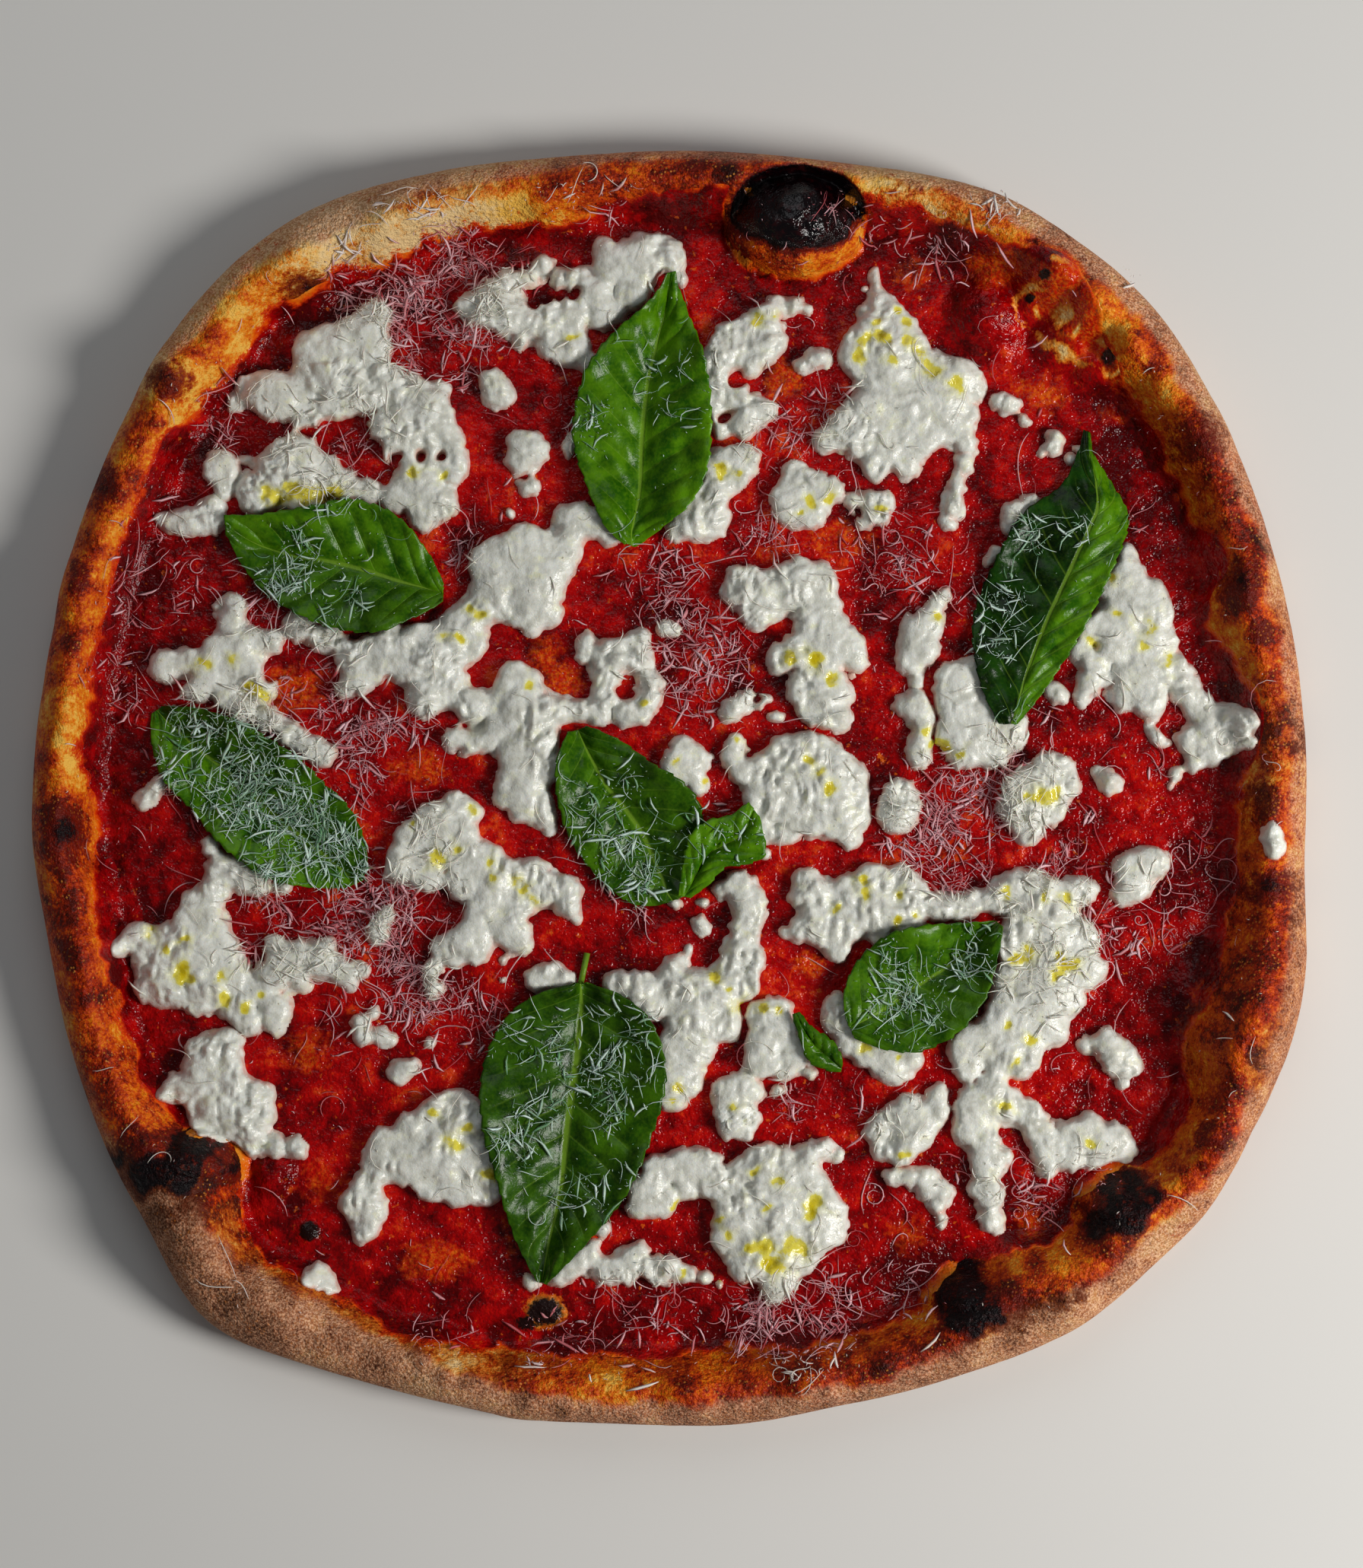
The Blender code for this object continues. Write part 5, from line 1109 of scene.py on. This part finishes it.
def makeCurd(number, lumps):
    lumps = np.array(lumps, float)
    low = (lumps[:, :2] - lumps[:, 2:]).min(0) - curd["spill"]
    high = (lumps[:, :2] + lumps[:, 2:]).max(0) + curd["spill"]
    columns, rows = np.ceil((high - low) / curd["cell"]).astype(int).tolist()
    made = addGrid(f"burrata_torn_{number:02d}", columns, rows)
    x, y = ((readPoints(made)[:, :2] + 1) / 2 * (high - low) + low).T
    inside = curdEdge(x, y, lumps)
    near = np.abs(inside) < curd["cell"] * 0.75
    out = (inside < 0) & ~near
    x[near], y[near], inside[near] = toEdge(x[near], y[near], lumps)
    writePoints(made, np.column_stack([x, y, inside]))
    corners = np.empty(len(made.data.polygons) * 4, np.int32)
    made.data.polygons.foreach_get("vertices", corners)
    corners = corners.reshape(-1, 4)
    deleteFaces(made, out[corners].any(1) | near[corners].all(1))
    underCount = len(made.data.vertices)
    mode("EDIT")
    bpy.ops.mesh.extrude_region_move()
    mode("OBJECT")

    x, y, inside = readPoints(made).T
    place = flat(x, y)
    oil = np.zeros_like(x)
    runX, runY = x + 1.1 * noise(place, 2.6, 41), y + 1.1 * noise(place, 2.6, 42)
    for px, py, size in oilPools:
        if low[0] < px < high[0] and low[1] < py < high[1]:
            oil += np.exp(-(np.hypot(runX - px, runY - py) / size) ** 2)
    oil = np.minimum(oil, 1.6) + 0.28 * noise(place, 2.2, 43)
    bed = bedHeight(x, y)
    body = curdHeight(x, y, lumps, inside) - 0.35 * ease(oil, 0.5, 1.1)
    top = np.arange(len(x)) >= underCount
    height = np.where(top, bed + np.maximum(body, 0) - curd["lowered"], bed - curd["sunk"])
    writePoints(made, toFrame(np.column_stack([x, y, height])))
    faceOutwards(made)
    addAttributes(made, oil=oil, depth=np.where(top, inside, 0))
    return made


def burrataMaterial():
    made, tree, shader = newMaterial("torn burrata")
    mid = grain(tree, 3.0, 3.0, 0.6)
    fine = grain(tree, 0.9, 2.0, 0.5)
    midOff = centred(tree, mid)
    colour = mixColour(tree, between(tree, mid, 0.30, 0.65), rgb(206, 206, 194), rgb(229, 230, 222))
    # thin edges take a little of the sauce
    thin = weigh(tree, attribute(tree, "depth"), (midOff, 1.6))
    thin = inverse(tree, between(tree, thin, 0.0, 0.9))
    colour = mixColour(tree, times(tree, thin, 0.55), colour, rgb(226, 150, 128))
    # oil stains it, and lies in pools
    oil = weigh(tree, attribute(tree, "oil"), (midOff, 0.9), (centred(tree, fine), 0.5))
    stain = times(tree, between(tree, oil, 0.05, 0.55), 0.45)
    colour = mixColour(tree, stain, colour, rgb(226, 224, 150))
    pool = between(tree, oil, 0.50, 0.78)
    yellow = mixColour(tree, between(tree, oil, 0.80, 1.35), rgb(222, 210, 84), rgb(206, 184, 18))
    colour = mixColour(tree, pool, colour, yellow)
    give(tree, shader, {"Base Color": colour, "Roughness": weigh(tree, 0.20, (fine, 0.24), (pool, -0.22)),
                        "Normal": useGroup(tree, fineRelief, Bumps_per_metre=820, Height_in_mm=0.20),
                        "Subsurface Weight": 0.35, "Subsurface Scale": 0.002,
                        "Subsurface Radius": (1.0, 0.8, 0.6), "Specular IOR Level": 0.45})
    return made


tornBurrata = []
burrataFinish = burrataMaterial()
for number, lumps in enumerate(curds, 1):
    piece = makeCurd(number, lumps)
    finishPiece(piece, burrataFinish, [f"burrata_{number:02d}"])
    tornBurrata.append(piece)
report("burrata")

# what the leaves and shreds land on: the highest point in each small square
landing = {"step": 0.6, "reach": 195}
heightMap = np.full((int(2 * landing["reach"] / landing["step"]),) * 2, -1.0)


def toCells(x):
    return (np.asarray(x) + landing["reach"]) / landing["step"]


def landOn(thing):
    mesh = thing.data
    mesh.calc_loop_triangles()
    corners = np.empty(len(mesh.loop_triangles) * 3, np.int32)
    mesh.loop_triangles.foreach_get("vertices", corners)
    points = toPizza(readPoints(thing))
    a, b, c = (points[corners.reshape(-1, 3)[:, k]] for k in range(3))
    every = np.concatenate([points, (a + b) / 2, (b + c) / 2, (c + a) / 2, (a + b + c) / 3])
    column, row = toCells(every[:, :2]).astype(int).T
    np.maximum.at(heightMap, (row, column), every[:, 2])


def fillMap():
    for _ in range(3):
        near = np.stack([np.roll(heightMap, step, axis) for axis in (0, 1) for step in (-1, 1)])
        heightMap[heightMap < 0] = near.max(0)[heightMap < 0]


def readMap(x, y, table=heightMap):
    column, row = toCells(x) - 0.5, toCells(y) - 0.5
    i, j = np.floor(row).astype(int), np.floor(column).astype(int)
    u, v = column - j, row - i
    return ((table[i, j] * (1 - u) + table[i, j + 1] * u) * (1 - v)
            + (table[i + 1, j] * (1 - u) + table[i + 1, j + 1] * u) * v)


def widest(table, reach):
    # the highest within reach
    cells = max(1, round(reach / landing["step"]))
    for axis in (0, 1):
        table = np.stack([np.roll(table, step, axis) for step in range(-cells, cells + 1)]).max(0)
    return table


for piece in (bakedCrust, tomatoSauce):
    landOn(piece)
fillMap()
sauceMap = heightMap.copy()
for piece in tornBurrata:
    landOn(piece)
fillMap()

leaf = {
    "cell": 0.65,
    "thick": 0.45,
    "clear": 0.35,             # gap under it
    "reach": 2.0,              # how wide a bump holds it up
    "stiff": 90,               # rounds of smoothing
    "tooth": 3.6,              # length of a tooth of its edge
    "stemRadius": 0.8,
    "veinTurns": 1.25,         # puckers for each side vein
    "veinLean": 1.6,           # how far the side veins lean towards the tip
    "pucker": 1.3,             # height of the cushions between them
    "puckers": ((0.42, 4.5, 81), (0.18, 2.2, 82)),
}
# one long edge, then the other, both from the leaf's base to its tip
leafEdges = (
    (((-12, 63.5), (-17, 68), (-22, 79), (-25.5, 92), (-23, 107), (-16, 118), (-7, 126), (-3, 131),
      (-1, 135)),
     ((-9.5, 63), (-3, 67.5), (5, 74), (9.5, 84), (10.3, 99), (8.5, 113), (5, 123), (2, 131), (1, 135.5))),
    (((-60, 48.5), (-68, 44), (-78, 40.3), (-92, 42.5), (-104, 49), (-112, 57), (-117, 66)),
     ((-60, 53), (-64, 61), (-72, 70.5), (-84, 75), (-94, 73), (-108, 71), (-117.5, 71))),
    (((-137, 19), (-136.5, 11), (-133, 2), (-126, -6), (-117, -16), (-106, -24), (-96, -26.5), (-86, -27)),
     ((-134, 21), (-122, 19.5), (-110, 14.5), (-99, 7.5), (-91, 0), (-84, -7), (-80, -17), (-81, -25))),
    (((-27, 14), (-30, 5), (-29, -6), (-25, -16), (-18, -25), (-10, -31), (-3, -31.5)),
     ((-22, 15.5), (-13, 11.5), (-5, 5.5), (3, 0.5), (8, -7), (8, -20), (4, -29))),
    (((2, -29), (3.5, -21), (5.5, -13), (10, -9.5), (16, -8), (20.5, -4.5)),
     ((5, -29.5), (9.5, -26), (14, -21.5), (20, -20.5), (24.5, -17.5), (23, -8))),
    (((-25.5, -52), (-34, -54.5), (-43, -61), (-49, -74), (-49, -89), (-45, -104), (-41, -118),
      (-35, -130)),
     ((-22, -52), (-13, -55), (-5, -62.5), (-1.5, -76), (-5, -91), (-12, -107), (-22, -119.5),
      (-32.5, -130.5))),
    (((46, -62), (45.3, -55), (49, -46.5), (57, -39.5), (67, -37), (77, -36.2), (85, -35.5)),
     ((48, -66), (56, -69), (65, -69.5), (75, -64.5), (82, -56), (85, -47), (87, -37))),
    (((86, 16), (81, 28), (80, 44), (86, 60), (93, 71.5), (103, 79), (107.5, 88), (109, 94)),
     ((91, 16), (98, 25), (107, 39), (115, 55), (120.3, 70), (116, 80), (111.5, 87), (110.5, 93))),
    (((44.5, -75), (40, -74), (36, -71.5), (34, -66), (32, -60)),
     ((45, -73), (43.5, -69), (40.5, -66), (36.5, -63.5), (33.5, -59.5))))
# how each leaf lies: fold along its midrib, curl of its edges, side veins, where its
# midrib runs across it, and how light each half is painted from 0 dark to 1 light, which is painted
# light and shade on halves facing towards or away from the lamp, with the leaf's own lighter or darker green
leafWays = (
    {"fold": 2.6, "curl": 2.2, "veins": 8, "rib": 0.5, "toneAndPaintedShade": (0.75, 1)},
    {"fold": 1.8, "curl": 1.6, "veins": 7, "rib": 0.5, "toneAndPaintedShade": (0.45, 0.75)},
    {"fold": 1.8, "curl": 1.6, "veins": 8, "rib": 0.5, "toneAndPaintedShade": (0.75, 0.45)},
    {"fold": 2.0, "curl": 1.6, "veins": 7, "rib": 0.5, "toneAndPaintedShade": (0.5, 0.4)},
    {"fold": 1.2, "curl": 1.4, "veins": 5, "rib": 0.5, "toneAndPaintedShade": (1, 0.9)},
    {"fold": 2.2, "curl": 1.6, "veins": 9, "rib": 0.5, "toneAndPaintedShade": (0.25, 0.4),
     "stem": ((-22, -44), (-24, -53.5))},
    {"fold": 1.6, "curl": 1.6, "veins": 7, "rib": 0.5, "toneAndPaintedShade": (0.6, 0.5)},
    {"fold": -3.6, "curl": 2.0, "veins": 8, "rib": 0.66, "toneAndPaintedShade": (0, 0.8)},
    {"fold": 0.8, "curl": 1.0, "veins": 5, "rib": 0.5, "toneAndPaintedShade": (0.6, 0.6)})


def smoothLine(points, share):
    # the place a share of the way along a smooth line through the points
    points = np.array(points, float)
    lengths = np.hypot(*np.diff(points, axis=0).T)
    reached = np.concatenate([[0], np.cumsum(lengths)])
    goal = share * reached[-1]
    index = np.clip(np.searchsorted(reached, goal, "right") - 1, 0, len(lengths) - 1)
    t = ((goal - reached[index]) / lengths[index])[..., None]
    p0, p1 = points[np.maximum(index - 1, 0)], points[index]
    p2, p3 = points[index + 1], points[np.minimum(index + 2, len(points) - 1)]
    return 0.5 * (2 * p1 + (p2 - p0) * t + (2 * p0 - 5 * p1 + 4 * p2 - p3) * t ** 2
                  + (3 * p1 - p0 - 3 * p2 + p3) * t ** 3)


def smoothed(table):
    # each value made the mean of the four beside it
    padded = np.pad(table, 1, mode="edge")
    return (padded[:-2, 1:-1] + padded[2:, 1:-1] + padded[1:-1, :-2] + padded[1:-1, 2:]) / 4


def addStem(made, start, end):
    # a short round stalk that lies on what is under it
    middle = (start + end) / 2
    height = readMap(*middle) + leaf["clear"] + 1.0
    deselect()
    bpy.ops.mesh.primitive_cylinder_add(
        vertices=12, radius=leaf["stemRadius"] * mm, depth=math.dist(start, end) * mm,
        location=toFrame(np.append(middle, height)),
        rotation=(math.pi / 2, 0, math.atan2(end[1] - start[1], end[0] - start[0]) + math.pi / 2))
    # all of it takes the midrib's colour
    for corner in bpy.context.object.data.uv_layers.active.data:
        corner.uv = (0.5, 0.5)
    made.select_set(True)
    bpy.context.view_layer.objects.active = made
    bpy.ops.object.join()


def makeLeaf(number, edges, way):
    first, second = edges
    middle = len(first) // 2
    lengthMm = math.dist(first[0], first[-1])
    widthMm = max(6, math.dist(first[middle], second[min(middle, len(second) - 1)]))
    rows, columns = round(lengthMm / leaf["cell"]), round(widthMm / leaf["cell"])
    made = addGrid(f"basil_leaf_{number}", columns, rows)
    v, u, _ = (readPoints(made).T + 1) / 2
    rib = way["rib"]
    side = np.where(v < rib, 1 - v / rib, (v - rib) / (1 - rib))
    signed = np.where(v < rib, -side, side)
    left, right = smoothLine(first, u), smoothLine(second, u)
    tooth = 0.75 * ((u * lengthMm / leaf["tooth"]) % 1) * side ** 6 * np.sin(np.pi * u) ** 0.5
    outward = (right - left) / np.maximum(1e-6, np.hypot(*(right - left).T))[:, None]
    spot = left + (right - left) * v[:, None] + outward * (np.sign(signed) * tooth)[:, None]
    x, y = spot.T

    # the sheet spans the dips between what holds it up
    support = readMap(x, y, widest(heightMap, leaf["reach"])) + leaf["clear"]
    order = np.lexsort((v, np.round(u * rows)))
    table = support[order].reshape(rows + 1, columns + 1)
    lifted = table
    for _ in range(leaf["stiff"]):
        lifted = np.maximum(table, smoothed(lifted))
    for _ in range(6):
        lifted = smoothed(lifted)
    height = np.empty_like(x)
    height[order] = lifted.ravel()

    ends = np.sin(np.pi * np.clip(u, 0.02, 0.98)) ** 0.6
    along = (u * way["veins"] * leaf["veinTurns"] - side * leaf["veinLean"]) % 1
    quilt = np.sin(np.pi * along) ** 0.7 * (1 - side ** 3) * ease(side, 0.02, 0.25)
    wave = noise(np.stack([u * lengthMm, signed * 6, np.full_like(u, number * 9.0)], 1), 9)
    # the sides stand above the midrib, or hang below it where the fold is less than 0
    sides = ease(side, 0.0, 0.55) if way["fold"] > 0 else ease(side, 0.0, 0.9) - 1
    height += way["fold"] * ends * sides + leaf["pucker"] * quilt * ends
    height += ripples(flat(x, y), *leaf["puckers"]) * ease(side, 0.05, 0.3)
    height += way["curl"] * side ** 3 * ends * (0.35 + 0.65 * wave)
    writePoints(made, toFrame(np.column_stack([x, y, height])))
    activate(made)
    solidify = made.modifiers.new("thickness", "SOLIDIFY")
    solidify.thickness = leaf["thick"] * mm
    solidify.offset = 1
    bpy.ops.object.modifier_apply(modifier=solidify.name)
    if "stem" in way:
        addStem(made, *np.array(way["stem"], float))
    faceOutwards(made)
    return made


def leafMaterial(number, way):
    made, tree, shader = newMaterial(f"basil leaf {number}")
    across, along, _ = put(tree, "SeparateXYZ", {0: put(tree, "TexCoord").outputs["UV"]}).outputs
    side = times(tree, maths(tree, "ABSOLUTE", maths(tree, "SUBTRACT", across, way["rib"])), 2.0)
    turn = weigh(tree, times(tree, side, -leaf["veinLean"]), (along, way["veins"] * leaf["veinTurns"]))
    saw = maths(tree, "ABSOLUTE", centred(tree, maths(tree, "FRACT", turn)))
    vein = times(tree, between(tree, saw, 0.44, 0.5), inverse(tree, between(tree, side, 0.5, 1.0)))
    rib = inverse(tree, between(tree, side, 0.015, 0.06))
    pale = maths(tree, "MAXIMUM", times(tree, vein, 0.45), rib)
    mottle = grain(tree, 6.0, 3.0, 0.6)
    fine = grain(tree, 0.8, 2.0, 0.5)
    # each half is painted lighter or darker: painted light and shade, together with the leaf's own tone
    first, second = way["toneAndPaintedShade"]
    toneAndPaintedShade = weigh(tree, first, (between(tree, across, way["rib"] - 0.04, way["rib"] + 0.04), second - first))
    light = mixColour(tree, toneAndPaintedShade, rgb(20, 58, 4), rgb(88, 140, 6))
    dark = mixColour(tree, toneAndPaintedShade, rgb(5, 22, 1), rgb(38, 90, 3))
    colour = mixColour(tree, between(tree, mottle, 0.32, 0.68), dark, light)
    speckled = times(tree, between(tree, fine, 0.4, 0.7), weigh(tree, 0.04, (toneAndPaintedShade, 0.18)))
    colour = mixColour(tree, speckled, colour, rgb(110, 150, 20))
    colour = mixColour(tree, times(tree, pale, 0.60), colour, rgb(122, 158, 44))
    dip = times(tree, weigh(tree, times(tree, fine, 0.35), (pale, -0.5)), 0.3 * mm)
    bump = put(tree, "Bump", {"Height": dip, "Strength": 1.0, "Distance": 1.0})
    give(tree, shader, {"Base Color": colour, "Roughness": weigh(tree, 0.16, (mottle, 0.22)),
                        "Normal": bump.outputs["Normal"], "Specular IOR Level": 0.18})
    return made


bareMap = heightMap.copy()
for number, (edges, way) in enumerate(zip(leafEdges, leafWays), 1):
    piece = makeLeaf(number, edges, way)
    finishPiece(piece, leafMaterial(number, way), [f"basil_{number}"])
    landOn(piece)
report("basil")

# clusters of shreds: x, y, radius, density
clusters = (
    (-68, 132, 16, 2), (-62, 120, 12, 2), (-50, 140, 10, 1), (-50, 116, 8, 1), (-60, 145, 8, 1),
    (-115, 95, 8, 2), (-88, 88, 12, 2), (-135, 58, 10, 1), (-142, 45, 6, 1), (-145, 28, 7, 1),
    (-92, 20, 10, 2), (-75, 15, 10, 1), (-70, 5, 10, 1), (-55, 62, 8, 1), (-85, 0, 8, 1), (-70, -28, 12, 2),
    (-72, -48, 12, 2), (-100, -35, 12, 2), (-82, -40, 8, 1), (-62, -60, 10, 1), (-90, -65, 5, 1),
    (-50, -60, 8, 1), (0, 52, 12, 1), (5, 35, 12, 1), (10, 28, 10, 1), (60, 60, 12, 1), (70, 48, 6, 1),
    (25, 65, 6, 2), (28, 92, 7, 1), (38, 98, 7, 1), (75, -10, 14, 3), (100, -20, 12, 2), (90, 10, 8, 1),
    (120, -35, 10, 1), (35, -140, 10, 2), (25, -140, 8, 2), (-10, -140, 12, 1), (-60, -140, 6, 1),
    (-32, -146, 6, 1), (80, -105, 6, 1), (95, -108, 6, 1), (112, -100, 5, 1), (58, -85, 6, 1),
    (32, -85, 5, 1), (62, -132, 6, 1), (70, 142, 6, 1), (55, 148, 5, 1), (85, 150, 5, 1), (-14, 153, 4, 1),
    (-30, 152, 5, 1), (120, 133, 3, 1), (100, -45, 12, 1), (42, 150, 5, 1.5), (2, 105, 7, 1),
    (-22, 95, 6, 1), (-98, 52, 12, 2), (-115, 8, 14, 2.4), (-100, -8, 12, 2.4), (-86, -12, 8, 2),
    (-12, -12, 12, 1.4), (-8, -25, 6, 1), (15, -13, 6, 1), (-20, -75, 12, 1.4), (-40, -92, 6, 2),
    (-42, -65, 5, 1), (-20, -108, 7, 2), (-8, -62, 6, 1), (-15, -85, 6, 1), (62, -57, 8, 2),
    (77, -43, 6, 2), (57, -45, 4, 1), (85, 50, 6, 2), (95, 66, 4, 2), (108, 68, 4, 1), (85, 38, 5, 1))
# and of curls: x, y, radius, how many
curlClusters = (
    (140, -22, 8, 14), (45, -130, 8, 16), (35, -142, 9, 12), (75, -10, 12, 12), (128, -35, 8, 8),
    (100, -108, 8, 6), (60, -112, 8, 5), (-10, -140, 10, 5), (20, 62, 10, 5), (58, 60, 10, 4),
    (-70, -50, 12, 5), (100, -45, 10, 5), (0, 40, 12, 4), (132, 10, 10, 5), (150, 15, 7, 3),
    (-66, 128, 14, 6), (20, -75, 12, 3))
# kinds of grated cheese: how long, wide and thick, how far it bends, points along it, how many
# on each square millimetre of a plain cluster, and how many are strewn over everything
shredKinds = {
    "threads": {"length": (3, 14), "width": (0.14, 0.36), "thick": 0.10, "bend": 0.9, "rings": 6,
                "crowd": 0.095, "strewn": 380},
    "ribbons": {"length": (3, 9), "width": (0.42, 0.9), "thick": 0.08, "bend": 0.7, "rings": 4,
                "crowd": 0.06, "strewn": 110},
    "crumbs": {"length": (0.4, 1.6), "width": (0.15, 0.36), "thick": 0.12, "bend": 1.0, "rings": 3,
               "crowd": 0.34, "strewn": 1500},
    "curls": {"length": (9, 20), "width": (0.24, 0.38), "thick": 0.14, "bend": 3.4, "rings": 14,
              "crowd": 0.004, "strewn": 40, "more": curlClusters},
}
shred = {
    "many": 1.8,               # how many are drawn for each that a plain cluster keeps
    "reach": 1.45,             # how far past its radius a cluster spreads
    "gap": 0.05,               # under each
    "lowest": 2.5,             # one that would lie lower is left out
    "step": 6,                 # and so is one that would span a higher step
    "farthest": 190,
}


def strewPlaces(draw, kind):
    found = []
    for x, y, radius, density in clusters:
        count = draw.poisson(shred["many"] * density * kind["crowd"] * np.pi * radius ** 2)
        away = shred["reach"] * radius * draw.uniform(0, 1, count) ** 0.72
        turn = draw.uniform(0, 2 * np.pi, count)
        x, y = x + away * np.cos(turn), y + away * np.sin(turn)
        # tangles with bare gaps between them
        tangled = 0.52 + ripples(flat(x, y), (0.9, 8, 91), (0.6, 3.5, 92))
        kept = draw.uniform(0, 1, count) < tangled
        found.append(np.column_stack([x[kept], y[kept]]))
    turn = draw.uniform(0, 360, kind["strewn"])
    radius = readRing(outerEdge, turn) * np.sqrt(draw.uniform(0, 0.90, kind["strewn"]))
    found.append(np.column_stack(around(radius, turn)))
    for x, y, radius, count in kind.get("more", ()):
        apart = radius * 0.6
        found.append(np.column_stack([x + draw.normal(0, apart, count), y + draw.normal(0, apart, count)]))
    return np.concatenate(found)


def layShreds(name, draw, kind):
    # each shred is a bent three-sided strip that follows what it lies on
    places = strewPlaces(draw, kind)
    count, rings = len(places), kind["rings"]
    total = (draw.uniform(*kind["length"], count) * draw.uniform(0.5, 1.0, count))[:, None]
    wide = draw.uniform(*kind["width"], count)
    step = np.linspace(-0.5, 0.5, rings)
    heading = draw.uniform(0, 2 * np.pi, (count, 1))
    heading = (heading + step * draw.normal(0, kind["bend"], (count, 1))
               + step ** 2 * draw.normal(0, 1.6 * kind["bend"], (count, 1)))
    stride, far = total / (rings - 1), shred["farthest"]
    x, y = (np.clip(places[:, axis, None] + np.cumsum(way(heading) * stride, 1)
                    - total / 2 * way(heading[:, :1]), -far, far)
            for axis, way in enumerate((np.cos, np.sin)))
    rest = readMap(x, y) + shred["gap"]
    height = rest.copy()
    for _ in range(6):
        padded = np.pad(height, ((0, 0), (1, 1)), mode="edge")
        height = np.maximum(rest, (padded[:, :-2] + padded[:, 2:]) / 2)
    # a long one may spring up at one end
    height = height + (draw.uniform(0, 0.45, (count, 1))
                       + (total > 3) * draw.uniform(0, 1.2, (count, 1)) ** 3 * (step + 0.5) ** 2)
    # what shows through it: green over a leaf, cream over burrata and bare rim
    ground = readMap(x, y, bareMap)
    radius, turn = polar(x, y)
    leafy = np.clip((readMap(x, y) - ground) / 0.3, 0, 1)
    creamy = np.clip((ground - readMap(x, y, sauceMap) - 0.4) / 0.5, 0, 1)
    creamy = np.maximum(creamy, 0.75 * ease(radius - sauceReach(turn), 0, 3))
    keep = (rest.min(1) > shred["lowest"]) & (rest.max(1) - rest.min(1) < shred["step"])
    x, y, height, heading, wide, leafy, creamy = (
        each[keep] for each in (x, y, height, heading, wide, leafy, creamy))
    count = len(x)

    taper = 1 - 0.75 * np.abs(step * 2) ** 4
    across = wide[:, None] / 2 * taper
    dx, dy = -np.sin(heading) * across, np.cos(heading) * across
    sides = [np.stack([x + dx, y + dy, height], -1), np.stack([x - dx, y - dy, height], -1),
             np.stack([x, y, height + kind["thick"] * (taper + 0.5)], -1)]
    points = np.stack(sides, 2).reshape(-1, 3)
    ring = np.arange(rings - 1)[:, None] * 3
    face = []
    for side in range(3):
        after = (side + 1) % 3
        face += [np.hstack([ring + side, ring + after, ring + 3 + after]),
                 np.hstack([ring + side, ring + 3 + after, ring + 3 + side])]
    last = (rings - 1) * 3
    strip = np.concatenate(face + [np.array([[0, 2, 1], [last, last + 1, last + 2]])])
    faces = (strip[None] + (3 * rings * np.arange(count))[:, None, None]).reshape(-1, 3)
    mesh = bpy.data.meshes.new(name)
    mesh.from_pydata(toFrame(points).tolist(), [], faces.tolist())
    made = bpy.data.objects.new(name, mesh)
    bpy.context.scene.collection.objects.link(made)
    faceOutwards(made)
    addAttributes(made, leafy=np.repeat(leafy.ravel(), 3), creamy=np.repeat(creamy.ravel(), 3),
                  solid=np.repeat(draw.uniform(0, 1, count), 3 * rings))
    return made


def cheeseMaterial():
    made, tree, shader = newMaterial("grated hard cheese")
    # thin shreds let the colour under them through
    solid = weigh(tree, attribute(tree, "solid"), (grain(tree, 5.0), 0.8))
    solid = between(tree, solid, 0.25, 1.5)
    colour = mixColour(tree, solid, rgb(184, 62, 72), rgb(234, 188, 194))
    colour = mixColour(tree, attribute(tree, "creamy"), colour, rgb(238, 234, 222))
    over = mixColour(tree, solid, rgb(94, 146, 98), rgb(212, 228, 220))
    colour = mixColour(tree, attribute(tree, "leafy"), colour, over)
    give(tree, shader, {"Base Color": colour, "Roughness": weigh(tree, 0.32, (grain(tree, 0.7), 0.3)),
                        "Subsurface Weight": 0.15, "Subsurface Scale": 0.0006})
    return made


fillMap()
bareMap = np.where(bareMap < 0, heightMap, bareMap)
cheeseFinish = cheeseMaterial()
chance = np.random.default_rng(41)
for label, kind in shredKinds.items():
    finishPiece(layShreds("cheese_" + label, chance, kind), cheeseFinish)
report("cheese")

deselect()
bpy.ops.mesh.primitive_plane_add(size=6)
floor = named("floor")
floorFinish, floorTree, floorShader = newMaterial("pale floor")
give(floorTree, floorShader, {"Base Color": rgb(222, 220, 216), "Roughness": 0.7})
floor.data.materials.append(floorFinish)

lights = {
    "window": {"at": (0.88, -0.26, 0.72), "size": 0.42, "energy": 12.4, "color": (1.0, 0.98, 0.95)},
    "fill": {"at": (-0.1, 0.8, 0.9), "size": 0.9, "energy": 2.0, "color": (0.94, 0.97, 1.0)},
}
for name, settings in lights.items():
    deselect()
    bpy.ops.object.light_add(type="AREA", location=settings["at"])
    lamp = bpy.context.object
    lamp.name = name
    lamp.rotation_euler = (-Vector(settings["at"])).to_track_quat("-Z", "Y").to_euler()
    lamp.data.shape = "DISK"
    for key in ("size", "energy", "color"):
        setattr(lamp.data, key, settings[key])
world = bpy.data.worlds.new("room")
world.use_nodes = True
give(world.node_tree, world.node_tree.nodes["Background"], {"Color": (0.9, 0.95, 1.0, 1), "Strength": 0.10})
bpy.context.scene.world = world
bpy.context.scene.view_settings.view_transform = "Standard"

camera = {"elevation": 88.0, "distance": 1.145, "aim": (0.0024, 0.0006, 0.008), "lens": 100}
rise = math.radians(camera["elevation"])
aim = Vector(camera["aim"])
place = aim + Vector((0, -math.cos(rise), math.sin(rise))) * camera["distance"]
deselect()
bpy.ops.object.camera_add(location=place)
eye = bpy.context.object
eye.rotation_euler = (aim - place).to_track_quat("-Z", "Y").to_euler()
eye.data.lens = camera["lens"]
eye.data.sensor_width = 36
bpy.context.scene.camera = eye

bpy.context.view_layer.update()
report("scene")
